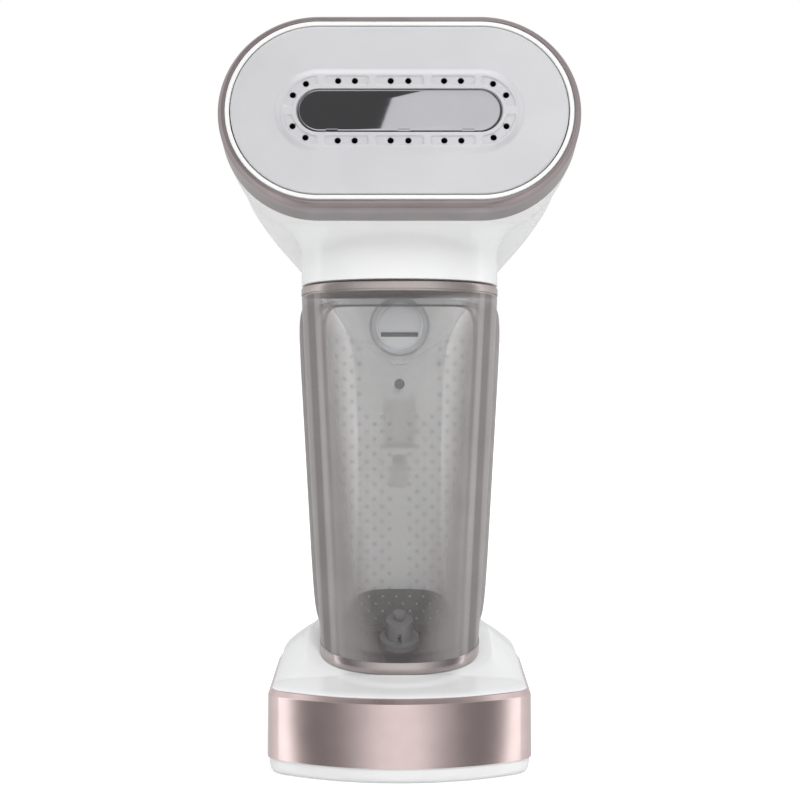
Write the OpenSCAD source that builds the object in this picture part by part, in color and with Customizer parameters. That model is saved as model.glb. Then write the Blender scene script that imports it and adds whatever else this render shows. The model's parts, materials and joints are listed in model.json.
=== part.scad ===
// Handheld garment steamer that stands on its own base.
// X runs to the right, -Y to the front (the steam plate) and +Z up; the origin is the footprint's centre.

/* [Base] */
// Width of the rose band round the base
base_w = 103.6; // [98:0.2:108]
// Front of the base, from the origin
base_front = 66; // [64:0.5:68]
// Back of the base, from the origin
base_back = 64.5; // [62:0.5:65]
// Radius of the wide arc along the base's front
base_arc_r = 85; // [80:1:95]
// Radius of the base's front corners
base_corner_r = 11; // [9:0.5:13]
// Height of the band's lower edge
band_z0 = 6.2; // [6:0.1:6.6]
// Height of the band's upper edge, above its chamfer
band_z1 = 33.2; // [31:0.1:34]

/* [Tank] */
// Width of the tank at its top
tank_top_w = 79; // [76:0.5:80]
// Width of the tank at its foot
tank_foot_w = 64.4; // [62:0.2:68]
// Wall thickness of the tank's two shells
tank_wall = 2.2; // [1.8:0.1:2.6]
// Slope of the tank's foot, which rises to the back
foot_slope = 19.5; // [18:0.1:21]
// Slope of the tank's top, which falls to the back
top_slope = 10.5; // [9:0.1:12]
// Height of the tank's top at its front
tank_top_z = 193.3; // [192:0.1:194]
// Height of the tank's foot at its front
tank_foot_z = 36.4; // [36:0.1:37]

/* [Head] */
// Width of the head's rose bezel
head_w = 140.6; // [138:0.2:142]
// Height of the bezel, measured in its own plane
head_h = 77.7; // [76:0.1:79]
// Lean of the steam plate, facing up
head_tilt = 15; // [14:0.5:16]
// Depth of the bezel's wall
bezel_d = 20; // [18:0.5:20]
// Diameter of one steam hole
steam_hole_d = 2.3; // [2:0.1:2.6]

/* [Controls] */
// Travel of the power button before it meets its switch
button_travel = 1.8; // [1.6:0.1:2]

/* [Hidden] */
$fn = 48;

white = "#e9ebf0";
rose = "#b79b9a";
bezel_rose = "#8d8183";
smoke = "#a9a4a4";
silver = "#d6d6d9";
steel = "#9a9ca0";
rubber = "#2c2c2e";
silicone = "#c9c4bd";
aluminium = "#b4b4b6";
board_green = "#2f6b45";
brass = "#c9a14a";

eps = 0.05;
shell_wall = 2.4;

// The head's plate: its centre and the layers behind its face
head_y = -48;
head_z = 259.1;
head_r = head_h / 2;
head_s = (head_w - head_h) / 2;
bevel = 2.2;
bezel_wall = 2.6;
trim_r = head_r - bezel_wall - 0.1;
trim_wall = 1.85;
plate_r = trim_r - trim_wall - 0.4;
plate_t = 6;
boss_h = 1.2;
boss_s = 31;
boss_r = 14.5;
boss_in_r = 8.8;
inlay_s = 30.7;
inlay_r = 8.2;
boss_v = -0.5;

// The tank's plan: widest line, front bulge and flat back
tank_y = -14.5;
tank_bulge = 19.5;
tank_split_y = -9;
tank_back_y = -1;
tank_front_y = tank_y - tank_bulge;
plan_power = 2.35;
trim_h = 3.8;
foot_trim_h = 4.6;
dock_gap = 0.4;
neck_gap = 0.8;

// The grip's centre line, and the roof ridge that it stands on
grip_y = 44;
ridge_z = 49;

// Centre of the housing's front rim, which meets the bezel's back edge
rear_rim_y = head_y + (bezel_d + 0.05) * cos(head_tilt);
rear_rim_z = head_z - (bezel_d + 0.05) * sin(head_tilt);

// Spine of the grip and head, from the grip's foot up to the bezel:
// [y, z, tilt of the section's plane, straight half, corner half-width, half-depth]
SPINE = [
  [grip_y + 1.2, ridge_z, 90, 4, 17.5, 18],
  [grip_y + 0.6, 66, 90, 3, 15.8, 16.8],
  [grip_y, 102, 90, 2.5, 15.5, 16],
  [grip_y, 142, 90, 3, 15.8, 16],
  [grip_y, 167, 90, 4.5, 17, 16.5],
  [grip_y - 0.6, 182, 86, 9, 20.5, 17.2],
  [grip_y - 2.6, 197, 77, 17, 25, 19.5],
  [grip_y - 8.5, 213, 64, 24.8, 29.6, 24],
  [grip_y - 19, 228, 48, 30.2, 32.2, 29.6],
  [8.5, 240.6, 33, 31.2, 35, 34.8],
  [-10, 248.6, 21, 31.5, 37.3, 37.9],
  [rear_rim_y, rear_rim_z, head_tilt, head_s, head_r - 0.15, head_r - 0.15]
];
SPINE_STEPS = 3;
GRIP_STATIONS = 4;
HALF_STEPS = 12;

// Parts inside the grip, placed from its centre line
pivot_y = grip_y - 9;
pivot_z = 158;
lock_z = 110;
button_z = 185;
button_y = grip_y + 16.8;
screw_zs = [74, 94];
post_r = 3.4;
lens_rise = 14;

// ---- shared geometry ----

function lerp(a, b, t) = a + (b - a) * t;
function power_curve(c, p) = sign(c) * pow(abs(c), 2 / p);

// Catmull-Rom curve through a list of vectors
function curve_point(p0, p1, p2, p3, t) =
  0.5 * (2 * p1 + (p2 - p0) * t + (2 * p0 - 5 * p1 + 4 * p2 - p3) * t * t
         + (3 * p1 - p0 - 3 * p2 + p3) * t * t * t);
function smooth(list, steps) = let (last = len(list) - 1) concat(
  [for (i = [0:last - 1]) for (k = [0:steps - 1])
    curve_point(list[max(i - 1, 0)], list[i], list[i + 1], list[min(i + 2, last)], k / steps)],
  [list[last]]);
function slice(list, from, to) = [for (i = [from:to]) list[i]];
function reversed(list) = [for (i = [len(list) - 1:-1:0]) list[i]];

// A closed solid through rings of equally many points. Each ring runs anticlockwise
// as seen from the last one. A looped skin joins its last ring to its first.
module skin(rings, looped = false) {
  n = len(rings[0]);
  m = len(rings);
  walls = [for (i = [0:(looped ? m : m - 1) - 1]) for (j = [0:n - 1])
    let (a = i * n + j, b = i * n + (j + 1) % n, up = ((i + 1) % m) * n)
      each [[a, up + (j + 1) % n, b], [a, up + j, up + (j + 1) % n]]];
  top = (m - 1) * n;
  caps = looped ? [] : [for (i = [0:n / 2 - 2])
    each [[i, i + 1, n - 2 - i], [i, n - 2 - i, n - 1 - i],
          [top + i, top + n - 2 - i, top + i + 1], [top + i, top + n - 1 - i, top + n - 2 - i]]];
  polyhedron(points = [for (r = rings) each r], faces = concat(walls, caps), convexity = 10);
}

// A round tube or wire that follows a path of points, as a skin of its own
function unit(v) = v / norm(v);
// No route runs along this direction, so each ring's own frame turns smoothly into the next
ring_lean = [0.8, -0.5, 0.33];
function tube_ring(p, d, r, sides) =
  let (side = unit(cross(d, ring_lean)), up = cross(d, side))
    [for (k = [0:sides - 1]) p + r * (side * cos(360 * k / sides) + up * sin(360 * k / sides))];
function path_rings(path, r, sides) = [for (i = [0:len(path) - 1])
  tube_ring(path[i], unit(path[min(i + 1, len(path) - 1)] - path[max(i - 1, 0)]), r, sides)];
module wire(path, r, sides = 8) skin(path_rings(path, r, sides));
module hose(path, r, bore_r, sides = 10)
  skin(concat(path_rings(path, r, sides), reversed(path_rings(path, bore_r, sides))), looped = true);

// A compression spring that stands on the origin
module spring(r, wire_r, h, turns, steps = 9) {
  rise = h - 2 * wire_r;
  wire([for (i = [0:turns * steps])
    [r * cos(360 * i / steps), r * sin(360 * i / steps), wire_r + rise * i / (turns * steps)]],
    wire_r, 6);
}

module stadium(half, r) {
  square([2 * half, 2 * r], center = true);
  for (s = [-1, 1]) translate([s * half, 0]) circle(r);
}
module stadium_ring(half, r, inner_r) difference() {
  stadium(half, r);
  stadium(half, inner_r);
}
// Stadium outline as points at height w, clear of the long axis of symmetry
function stadium_points(half, r, w, steps = 48) = [for (k = [0:steps - 1])
  let (a = 360 * (k + 0.5) / steps - 90) [half * sign(cos(a)) + r * cos(a), r * sin(a), w]];

// Everything drawn inside stands on the steam plate, with +Z out of its face
module on_plate() translate([0, head_y, head_z]) rotate([90 - head_tilt, 0, 0]) children();
module layer(w0, w1) translate([0, 0, w0]) linear_extrude(w1 - w0) children();

// A cylinder along +Y, from y0 to y1
module y_cylinder(r, x, y0, y1, z) translate([x, y0, z]) rotate([-90, 0, 0]) cylinder(r = r, h = y1 - y0);
module x_cylinder(r, x0, x1, y, z) translate([x0, y, z]) rotate([0, 90, 0]) cylinder(r = r, h = x1 - x0);
module block(x, y, z) translate([x[0], y[0], z[0]]) cube([x[1] - x[0], y[1] - y[0], z[1] - z[0]]);

// ---- grip and head housing ----

spine = smooth(SPINE, SPINE_STEPS);
grip_last = GRIP_STATIONS * SPINE_STEPS;
head_last = len(spine) - 1;

function section_point(s, a, inset) =
  let (x = s[3] * sign(cos(a)) + (s[4] - inset) * cos(a), v = (s[5] - inset) * sin(a))
    [x, s[0] + v * sin(s[2]), s[1] + v * cos(s[2])];
function half_section(s, from, wall) = concat(
  [for (k = [0:HALF_STEPS]) section_point(s, from + 180 * k / HALF_STEPS, 0)],
  [for (k = [HALF_STEPS:-1:0]) section_point(s, from + 180 * k / HALF_STEPS, wall)]);
// One half of the housing between two stations: from = 0 is the back half, 180 the front half
module housing_half(first, last, from)
  skin([for (s = slice(spine, first, last)) half_section(s, from, shell_wall)]);

// The line along the housing's underside, as [y, z] pairs that rise with y
under_line = [for (i = [head_last:-1:grip_last]) let (s = spine[i])
  [s[0] - s[5] * sin(s[2]), s[1] - s[5] * cos(s[2])]];
function under_z(y) = lookup(y, under_line);

module head_top_shell() color(white) difference() {
  housing_half(grip_last, head_last, 0);
  y_cylinder(7, 0, grip_y + 8, grip_y + 28, button_z);
  y_cylinder(2.4, 0, grip_y + 8, grip_y + 28, button_z + lens_rise);
}

module head_under_shell() color(white) housing_half(grip_last, head_last, 180);

module grip_front_shell() color(white) difference() {
  union() {
    housing_half(0, grip_last, 180);
    for (z = screw_zs) y_cylinder(post_r, 0, grip_y - 14, grip_y - 2, z);
  }
  block([-6.6, 6.6], [grip_y - 22, grip_y - 8], [pivot_z - 36, pivot_z + 5]);
  block([-3.2, 3.2], [grip_y - 22, grip_y - 8], [lock_z - 5, lock_z + 9]);
  for (z = screw_zs) y_cylinder(1.5, 0, grip_y - 11, grip_y, z);
  x_cylinder(1.5, -20, 20, pivot_y, pivot_z);
}

module grip_rear_shell() color(white) difference() {
  union() {
    housing_half(0, grip_last, 0);
    for (z = screw_zs) y_cylinder(post_r, 0, grip_y - 1.8, grip_y + 15.4, z);
  }
  for (z = screw_zs) {
    y_cylinder(1.7, 0, grip_y - 2, grip_y + 18, z);
    y_cylinder(2.8, 0, grip_y + 12, grip_y + 20, z);
  }
}

module grip_screws() color(steel) for (z = screw_zs) difference() {
  union() {
    y_cylinder(1.45, 0, grip_y - 10, grip_y + 12.1, z);
    y_cylinder(2.6, 0, grip_y + 12, grip_y + 14.4, z);
  }
  translate([0, grip_y + 15, z]) rotate([90, 0, 0]) cylinder(r = 1.3, h = 2, $fn = 6);
}

// ---- head ----

hole_v = 12;
steam_hole_spots = [[3.4, hole_v], [17.2, hole_v], [23.7, hole_v], [36.1, 10.9], [41.1, 6.3]];
rib_spots = [10.65, 30.35];

// The raised ring, its holes and the inlay sit a little below the plate's centre
module on_boss() translate([0, boss_v, 0]) children();

module steam_pockets() linear_extrude(boss_h) difference() {
  stadium_ring(boss_s, boss_r - 0.5, boss_r - 4.2);
  for (s = [-1, 1]) for (x = rib_spots) translate([s * x, 0]) square([2.7, 40], center = true);
  square([100, 4.4], center = true);
}

module soleplate() color(silver) on_plate() difference() {
  union() {
    layer(-plate_t, 0) stadium(head_s, plate_r);
    on_boss() layer(-eps, boss_h) stadium_ring(boss_s, boss_r, boss_in_r);
  }
  on_boss() layer(-1, boss_h + 1) stadium(inlay_s, inlay_r + 0.4);
  on_boss() translate([0, 0, 0.5]) steam_pockets();
  on_boss() layer(-plate_t - 1, -plate_t + 2.5) stadium_ring(boss_s, 16, 9.5);
  on_boss() for (sx = [-1, 1]) for (sy = [-1, 1]) for (p = steam_hole_spots)
    translate([sx * p[0], sy * p[1], -plate_t]) cylinder(d = steam_hole_d, h = 10, $fn = 16);
}

module soleplate_inlay() color(steel) on_plate() on_boss() layer(-1, 0.9) stadium(inlay_s, inlay_r);

module soleplate_trim() color(white) on_plate() layer(-plate_t, -0.2) stadium_ring(head_s, trim_r, trim_r - trim_wall);

module head_bezel() color(bezel_rose) on_plate() skin([
  stadium_points(head_s, head_r, -bezel_d),
  stadium_points(head_s, head_r, -bevel),
  stadium_points(head_s, head_r - bevel + 0.4, 0),
  stadium_points(head_s, head_r - bezel_wall, 0),
  stadium_points(head_s, head_r - bezel_wall, -bezel_d)
], looped = true);

// The neck: a cup between the tank's top and the head's underside
module neck_shell() color(white) difference() {
  skin([
    plan_ring(1, 0, function (y) top_plane(y) + neck_gap),
    plan_ring(1, 0, function (y) lerp(top_plane(y), under_z(y), 0.7)),
    plan_ring(1, -1.2, function (y) under_z(y) - eps),
    plan_ring(1, shell_wall, function (y) under_z(y) - eps),
    plan_ring(1, shell_wall, function (y) top_plane(y) + neck_gap + shell_wall)
  ]);
  block([-8.4, 8.4], [tank_back_y - 3, tank_back_y + 7], [latch_z - 1.4, latch_z + 12.6]);
  block([-5.4, 5.4], [tank_back_y - 8.4, tank_back_y - 2], [latch_z - 10, latch_z + 2]);
}

// ---- steam chamber ----

spigot_r = 2.5;
hose_r = 3.9;
hose_bore_r = 2.9;
chamber_s = 29;
chamber_r = 27;
chamber_w0 = -22;
lug_spots = [for (sx = [-1, 1]) each [[sx * 20, 21.5], [sx * 20, -21.5], [sx * 50.5, 0]]];
coil_x = 26;
coil_v = 13;
coil_r = 3.2;

module steam_chamber() color(aluminium) on_plate() difference() {
  union() {
    difference() {
      layer(chamber_w0, -plate_t) stadium(chamber_s, chamber_r);
      layer(chamber_w0 - 1, -plate_t - 4) stadium(chamber_s, chamber_r - 3);
    }
    for (p = lug_spots) translate([p[0], p[1], chamber_w0 - 1]) cylinder(r = 3.5, h = 13);
  }
  for (p = lug_spots) translate([p[0], p[1], chamber_w0 - 2]) cylinder(r = 1.3, h = 10);
  for (sx = [-1, 1]) for (sy = [-1, 1]) for (x = [8, 21])
    translate([sx * x, sy * hole_v, chamber_w0]) cylinder(r = 2, h = 20);
}

module chamber_gasket() color(silicone) on_plate()
  layer(chamber_w0 - 1, chamber_w0) stadium_ring(chamber_s, chamber_r, chamber_r - 1.9);

module chamber_cover() color(aluminium) on_plate() difference() {
  union() {
    layer(chamber_w0 - 4, chamber_w0 - 1) stadium(chamber_s, chamber_r);
    translate([0, 0, chamber_w0 - 12]) cylinder(r = spigot_r, h = 9);
    translate([0, 0, chamber_w0 - 6]) cylinder(r = 5, h = 3);
  }
  translate([0, 0, chamber_w0 - 20]) cylinder(r = 1.6, h = 30);
  for (p = lug_spots) translate([p[0], p[1], chamber_w0 - 8]) cylinder(r = 1.7, h = 10);
  for (s = [-1, 1]) translate([coil_x, s * coil_v, chamber_w0 - 8]) cylinder(r = coil_r + 0.25, h = 10);
}

module chamber_screws() color(steel) on_plate() for (p = lug_spots)
  translate([p[0], p[1], chamber_w0 - 4]) difference() {
    union() {
      cylinder(r = 1.25, h = 10);
      translate([0, 0, -2]) cylinder(r = 2.8, h = 2);
    }
    translate([0, 0, -2.5]) cylinder(r = 1.4, h = 1.6, $fn = 6);
  }

// A sheathed element bent to a U, its two ends turned back through the cover
module heating_element() color("#5a5250") on_plate() translate([0, 0, -15]) {
  rotate([0, 0, 90]) translate([0, coil_x, 0]) rotate_extrude(angle = 180) translate([coil_v, 0]) circle(coil_r);
  for (s = [-1, 1]) translate([0, s * coil_v, 0]) {
    translate([-coil_x, 0, 0]) rotate([0, 90, 0]) cylinder(r = coil_r, h = 2 * coil_x);
    translate([coil_x, 0, 0]) sphere(coil_r);
    translate([coil_x, 0, -16]) cylinder(r = coil_r, h = 16);
    translate([coil_x, 0, -21]) cylinder(r = 1.2, h = 6);
  }
}

module thermostat() color("#3b3b3f") on_plate() translate([20, 0, chamber_w0 - 11]) {
  cylinder(r = 8, h = 7);
  for (s = [-1, 1]) translate([s * 4 - 0.4, -3, -6]) cube([0.8, 6, 7]);
}

module thermal_fuse() color(brass) on_plate() translate([-26, 0, chamber_w0 - 6.4]) {
  rotate([0, 90, 0]) cylinder(r = 2.2, h = 12);
  translate([5, -5, 0.6]) cube([3, 10, 1.8]);
}

module insulator_frame() color(rubber) on_plate() {
  layer(-bezel_d + 0.5, -plate_t - 0.2) stadium_ring(head_s, trim_r - 0.3, trim_r - 3);
  for (s = [-1, 1]) for (x = [-24, 0, 24])
    translate([x - 2, s * 30.9 - 3.2, -18]) cube([4, 6.4, 3]);
}

// ---- tank ----

// The top falls back to the widest line and then runs level
function top_plane(y) = tank_top_z - (min(y, tank_y) - tank_front_y) * tan(top_slope);
function foot_plane(y) = tank_foot_z + (y - tank_front_y) * tan(foot_slope);
// Half the tank's width, from 0 at the foot to 1 at the top
function tank_half(t) = lerp(tank_foot_w, tank_top_w, t) / 2 + 0.5 * sin(180 * t);

PLAN_FRONT = 22;
PLAN_BACK = 10;
// Front curve of the plan, from the left side round to the right side
function front_curve(half, bulge) = [for (k = [0:PLAN_FRONT - 1])
  let (a = 180 + 180 * k / (PLAN_FRONT - 1))
    [half * power_curve(cos(a), plan_power), tank_y + bulge * power_curve(sin(a), plan_power)]];
// The whole plan of the column at relative height t, raised to the height that z_of gives
function plan_ring(t, inset, z_of) =
  let (half = tank_half(t) - inset, back = tank_back_y - tank_y - inset, front = front_curve(half, tank_bulge - inset),
       rear = [for (k = [1:PLAN_BACK]) let (a = 180 * k / (PLAN_BACK + 1))
         [half * power_curve(cos(a), 5), tank_y + back * power_curve(sin(a), 5)]],
       start = PLAN_FRONT / 2, plan = concat(front, rear), n = len(plan))
    [for (k = [0:n - 1]) let (p = plan[(k + start) % n]) [p[0], p[1], z_of(p[1])]];

// Half-width of the tank at depth y, for a plan inset by a wall
function bulge_share(y, inset) = y >= tank_y ? 1 :
  pow(max(0, 1 - pow((tank_y - y) / (tank_bulge - inset), plan_power)), 1 / plan_power);
// A rounded outline across the tank at depth y: an upright face of it, grown outwards or set in
function face_ring(y, grow, rise) = [for (k = [0:35])
  let (a = 10 * (k + 0.5) - 90, p = power_curve(cos(a), 13), t = (power_curve(sin(a), 13) + 1) / 2,
       z = lerp(foot_plane(y) + foot_trim_h + rise, top_plane(y) - trim_h - rise, t))
    [p * (tank_half(t) + grow) * bulge_share(y, max(-grow, 0)), y, z]];

module tank_front_shell() color(smoke) difference() {
  skin([for (t = [0:0.125:1])
    let (half = tank_half(t), plan = concat([[-half, tank_split_y]], front_curve(half, tank_bulge), [[half, tank_split_y]]))
      [for (p = plan) [p[0], p[1],
        lerp(foot_plane(p[1]) + foot_trim_h, top_plane(p[1]) - trim_h, t)]]]);
  skin([for (y = [tank_split_y + 1, tank_y, tank_y - 6, tank_y - 11, tank_y - 14.5, tank_y - 16.7])
    face_ring(y, -tank_wall, tank_wall)]);
  on_dock() cylinder(r = valve_r + 0.1, h = 14);
}

module tank_rear_shell() color(smoke) difference() {
  skin([
    face_ring(tank_back_y, -5, 4.5), face_ring(tank_back_y - 0.6, -2.6, 2.2),
    face_ring(tank_back_y - 2, -0.6, 0.8), face_ring(tank_back_y - 3.5, 1.6, 0.2),
    face_ring(tank_split_y + 0.05, 2, 0),
    face_ring(tank_split_y + 0.05, -tank_wall, tank_wall), face_ring(tank_back_y - 4.4, -3.6, 3.4),
    face_ring(tank_back_y - tank_wall, -6.6, 6.2)
  ]);
  y_cylinder(mouth_r, 0, tank_split_y, 0, stopper_z);
  y_cylinder(1.2, 0, tank_split_y, 0, anchor_z);
}

module tank_top_trim() color(rose) difference() {
  skin([plan_ring(1, -0.15, function (y) top_plane(y) - trim_h + eps),
        plan_ring(1, -0.15, function (y) top_plane(y))]);
  block([-7, 7], [tank_back_y - 9.5, tank_back_y - 1], [top_plane(tank_back_y) - 2, tank_top_z]);
}

module tank_foot_trim() color(rose) difference() {
  skin([plan_ring(0, -0.15, function (y) foot_plane(y)),
        plan_ring(0.02, -0.15, function (y) foot_plane(y) + foot_trim_h - eps)]);
  on_dock() cylinder(r = valve_r + 0.2, h = 20, center = true);
}

// The outlet stands square to the sloping foot
dock_y = -17;
valve_r = 8;
module on_dock() translate([0, dock_y, foot_plane(dock_y)]) rotate([foot_slope, 0, 0]) children();

module outlet_valve_body() color(silver) on_dock() difference() {
  union() {
    cylinder(r = valve_r, h = foot_trim_h + tank_wall + 0.4);
    cylinder(r = 5.5, h = 15);
  }
  translate([0, 0, -1]) cylinder(r = 3.6, h = 14);
  translate([0, 0, 12]) cylinder(r = 1.8, h = 4);
  for (a = [0:90:270]) rotate([0, 0, a]) translate([4.4, 0, 9]) cube([4, 1.6, 4], center = true);
}

module valve_stem() color(white) on_dock() {
  cylinder(r = 3.4, h = 3);
  cylinder(r = 1.5, h = 17);
  translate([0, 0, 17 - eps]) cylinder(r = 2.6, h = 1.4);
}

module valve_spring() color(steel) on_dock() translate([0, 0, 3.2]) spring(2.5, 0.35, 8.4, 4);

// The filler mouth's rubber stopper folds down on its strap
stopper_z = 174.8;
mouth_r = 9.6;
bend_z = 159.5;
bend_y = tank_back_y + 0.9;
anchor_z = 151;
strap_half = 7.8;

module filler_stopper() color(rubber) {
  y_cylinder(12.2, 0, tank_back_y + 0.3, tank_back_y + 2.1, stopper_z);
  y_cylinder(9, 0, tank_back_y - 4, tank_back_y + 0.4, stopper_z);
  block([-strap_half, strap_half], [tank_back_y + 0.3, tank_back_y + 1.5], [bend_z + 0.6, stopper_z - 8]);
  x_cylinder(0.6, -strap_half, strap_half, bend_y, bend_z);
  block([-strap_half, strap_half], [bend_y - 0.6, bend_y + 0.6], [bend_z, bend_z + 1]);
  hull() for (s = [-1, 1]) y_cylinder(1.2, s * 7, tank_back_y + 2, tank_back_y + 4.6, stopper_z - 4.8);
}

module stopper_strap() color(rubber) {
  block([-strap_half, strap_half], [tank_back_y + 0.1, tank_back_y + 1.3], [anchor_z - 6, bend_z - 1]);
  y_cylinder(1.15, 0, tank_back_y - 3.4, tank_back_y + 0.2, anchor_z);
  y_cylinder(2, 0, tank_back_y - 4.2, tank_back_y - 3, anchor_z);
}

// ---- base ----

// Right half of the base's outline, front to back, set in by d
arc_cy = base_arc_r - base_front;
corner_x = base_w / 2 - base_corner_r;
corner_y = arc_cy - sqrt(pow(base_arc_r - base_corner_r, 2) - corner_x * corner_x);
corner_a = atan2(corner_y - arc_cy, corner_x);
side_back_y = 28;
function base_half(d) = concat(
  [for (k = [0:5]) let (a = lerp(-90, corner_a, (k + 0.5) / 6))
    [(base_arc_r - d) * cos(a), arc_cy + (base_arc_r - d) * sin(a)]],
  [for (k = [0:5]) let (a = lerp(corner_a, 0, k / 5))
    [corner_x + (base_corner_r - d) * cos(a), corner_y + (base_corner_r - d) * sin(a)]],
  [for (k = [0:10]) let (a = 90 * k / 11)
    [(base_w / 2 - d) * cos(a), side_back_y + (base_back - side_back_y - d) * sin(a)]]);
function mirrored(half) = concat(half, [for (i = [len(half) - 1:-1:0]) [-half[i][0], half[i][1]]]);
function at_z(plan, z) = [for (p = plan) [p[0], p[1], z]];
function base_ring(d, z) = at_z(mirrored(base_half(d)), z);

// The roof rises to a ridge that carries the tank's foot and the grip's foot
ridge_front = 21.5;
ridge_back = base_back - 1.5 - tank_y;
function ridge_height(y) = min(foot_plane(max(y, tank_front_y)) - dock_gap, ridge_z);
function ridge_half() = [for (p = base_half(0)) let (a = atan2(p[1] + 20, p[0] * 1.3))
  [37.5 * power_curve(cos(a), 3.2), tank_y + (a < 0 ? ridge_front : ridge_back) * sin(a)]];
// t runs from the band's rim to the ridge and f is the share of the rise
function roof_ring(t, f, drop) =
  [for (p = lerp(mirrored(base_half(bevel_in + drop)), mirrored(ridge_half()), t))
    [p[0], p[1], lerp(band_z1 - drop / 2, ridge_height(p[1]) - drop, f)]];
bevel_in = 1.6;
band_draft = 0.3;
ROOF = [[0, 0], [0.04, 0.1], [0.5, 0.6], [0.9, 0.95], [1, 1]];

module base_cover() color(white) difference() {
  skin(concat([for (r = reversed(ROOF)) reversed(roof_ring(r[0], r[1], 0))],
              [for (r = ROOF) reversed(roof_ring(r[0], r[1], shell_wall))]));
  on_dock() cylinder(r = 9.3, h = 30, center = true);
  translate([0, grip_y, 38]) cylinder(r = 13, h = 20);
}

module base_band() color(rose) difference() {
  skin([base_ring(-band_draft, band_z0), base_ring(0, band_z1 - 2.3), base_ring(1.5, band_z1),
        base_ring(3, band_z1 - 2), base_ring(3, band_z0)], looped = true);
  y_cylinder(gland_r + 0.1, 0, 50, 70, gland_z);
}

plate_z0 = 0.4;
foot_spots = [[34, -44], [-34, -44], [30, 34], [-30, 34]];
module base_plate() color(white) difference() {
  skin([base_ring(3.2, plate_z0), base_ring(1.6, plate_z0 + 0.5), base_ring(0.9, plate_z0 + 1.6),
        base_ring(0.5, band_z0 - eps), base_ring(3.4, band_z0 - eps), base_ring(3.6, 3.4)]);
  for (p = foot_spots) translate([p[0], p[1], 0]) cylinder(r = 6.1, h = 2.05);
  for (p = foot_spots) translate([p[0], p[1], 0]) cylinder(r = 1.8, h = 8);
}

module rubber_feet() color(rubber) for (p = foot_spots) translate([p[0], p[1], 0]) difference() {
  cylinder(r = 6, h = 2);
  translate([0, 0, -1]) cylinder(r = 3.2, h = 4);
}

module base_screws() color(steel) for (p = foot_spots) translate([p[0], p[1], 0]) difference() {
  union() {
    translate([0, 0, 0.9]) cylinder(r = 2.9, h = 1.1);
    translate([0, 0, 1]) cylinder(r = 1.5, h = 12);
  }
  translate([0, 0, 0]) cylinder(r = 1.3, h = 1.6, $fn = 6);
}

chassis_z = 8;
module base_chassis() color("#c8cacf") difference() {
  union() {
    translate([0, 0, chassis_z]) linear_extrude(2) polygon(mirrored(base_half(7)));
    for (p = foot_spots) translate([p[0], p[1], 3.5]) cylinder(r = 4, h = 12);
    for (s = [-1, 1]) block([s * 25 - 2, s * 25 + 2], [pump_y - 9, pump_y + 9], [chassis_z, pump_z - 4]);
  }
  for (p = foot_spots) translate([p[0], p[1], 0]) cylinder(r = 1.6, h = 14);
  for (s = [-1, 1]) x_cylinder(8.2, s * 25 - 3, s * 25 + 3, pump_y, pump_z);
}

gland_r = 6.5;
gland_z = 18;
cord_bore_r = 3.6;
gland_y0 = 50;
gland_y1 = 66;
module cord_gland() color(white) difference() {
  union() {
    y_cylinder(gland_r, 0, gland_y0, gland_y1, gland_z);
    y_cylinder(8.6, 0, base_back + 0.1, gland_y1, gland_z);
    y_cylinder(8.6, 0, base_back - 6.5, base_back - 4.2, gland_z);
  }
  y_cylinder(cord_bore_r, 0, gland_y0 - 1, gland_y1 + 1, gland_z);
}

module tank_socket() color("#6f7074") on_dock() translate([0, 0, -dock_gap - 0.9]) difference() {
  union() {
    translate([0, 0, -12]) cylinder(r = 9, h = 12);
    translate([0, 0, -18]) cylinder(r = spigot_r, h = 7);
  }
  translate([0, 0, -8]) cylinder(r = 4, h = 9);
  translate([0, 0, -21]) cylinder(r = 1.6, h = 20);
}

module socket_seal() color(silicone) on_dock() translate([0, 0, -dock_gap - 0.9]) difference() {
  cylinder(r = 7.6, h = 0.9);
  translate([0, 0, -1]) cylinder(r = 4.2, h = 3);
}

pump_y = -36;
pump_z = 20;
module pump() color("#d8d4c8") {
  x_cylinder(8, -27, 27, pump_y, pump_z);
  block([-16, 16], [pump_y - 13, pump_y + 13], [pump_z - 9.6, pump_z + 9.6]);
  x_cylinder(spigot_r, -34, 34, pump_y, pump_z);
}

module pump_mounts() color(rubber) for (s = [-1, 1]) difference() {
  x_cylinder(9.6, s * 20.5 - 2.2, s * 20.5 + 2.2, pump_y, pump_z);
  x_cylinder(8.05, s * 20.5 - 3, s * 20.5 + 3, pump_y, pump_z);
}

// Hose routes: straight out of one spigot, then round to the next
dock_axis = [0, sin(foot_slope), -cos(foot_slope)];
dock_end = [0, dock_y, foot_plane(dock_y)] + dock_axis * 15;
module suction_hose() color(silicone) hose(smooth([
  dock_end, dock_end + dock_axis * 4, dock_end + dock_axis * 8, [-8, -5, 15], [-26, -6, 15.5], [-40, -14, 18],
  [-42.5, -27, pump_z], [-38, pump_y, pump_z], [-33, pump_y, pump_z], [-28, pump_y, pump_z]], 3),
  hose_r, hose_bore_r);

plate_out = [0, cos(head_tilt), -sin(head_tilt)];
inlet_end = [0, head_y, head_z] + plate_out * 28.6;
module delivery_hose() color(silicone) hose(smooth([
  [28, pump_y, pump_z], [33, pump_y, pump_z], [37.5, pump_y + 0.5, pump_z],
  [42.5, -28, pump_z + 1], [42.5, -8, 23], [34, 16, 28], [14, 33, 33], [-4, 42, 41],
  [-8, 46, 62], [-8, 47, 92], [-8, 47, 127], [-8.5, 47, 160], [-13, 43, 185],
  [-10, 34, 212], [-3, 14, 235], inlet_end + plate_out * 11,
  inlet_end + plate_out * 5, inlet_end], 3), hose_r, hose_bore_r);

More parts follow.
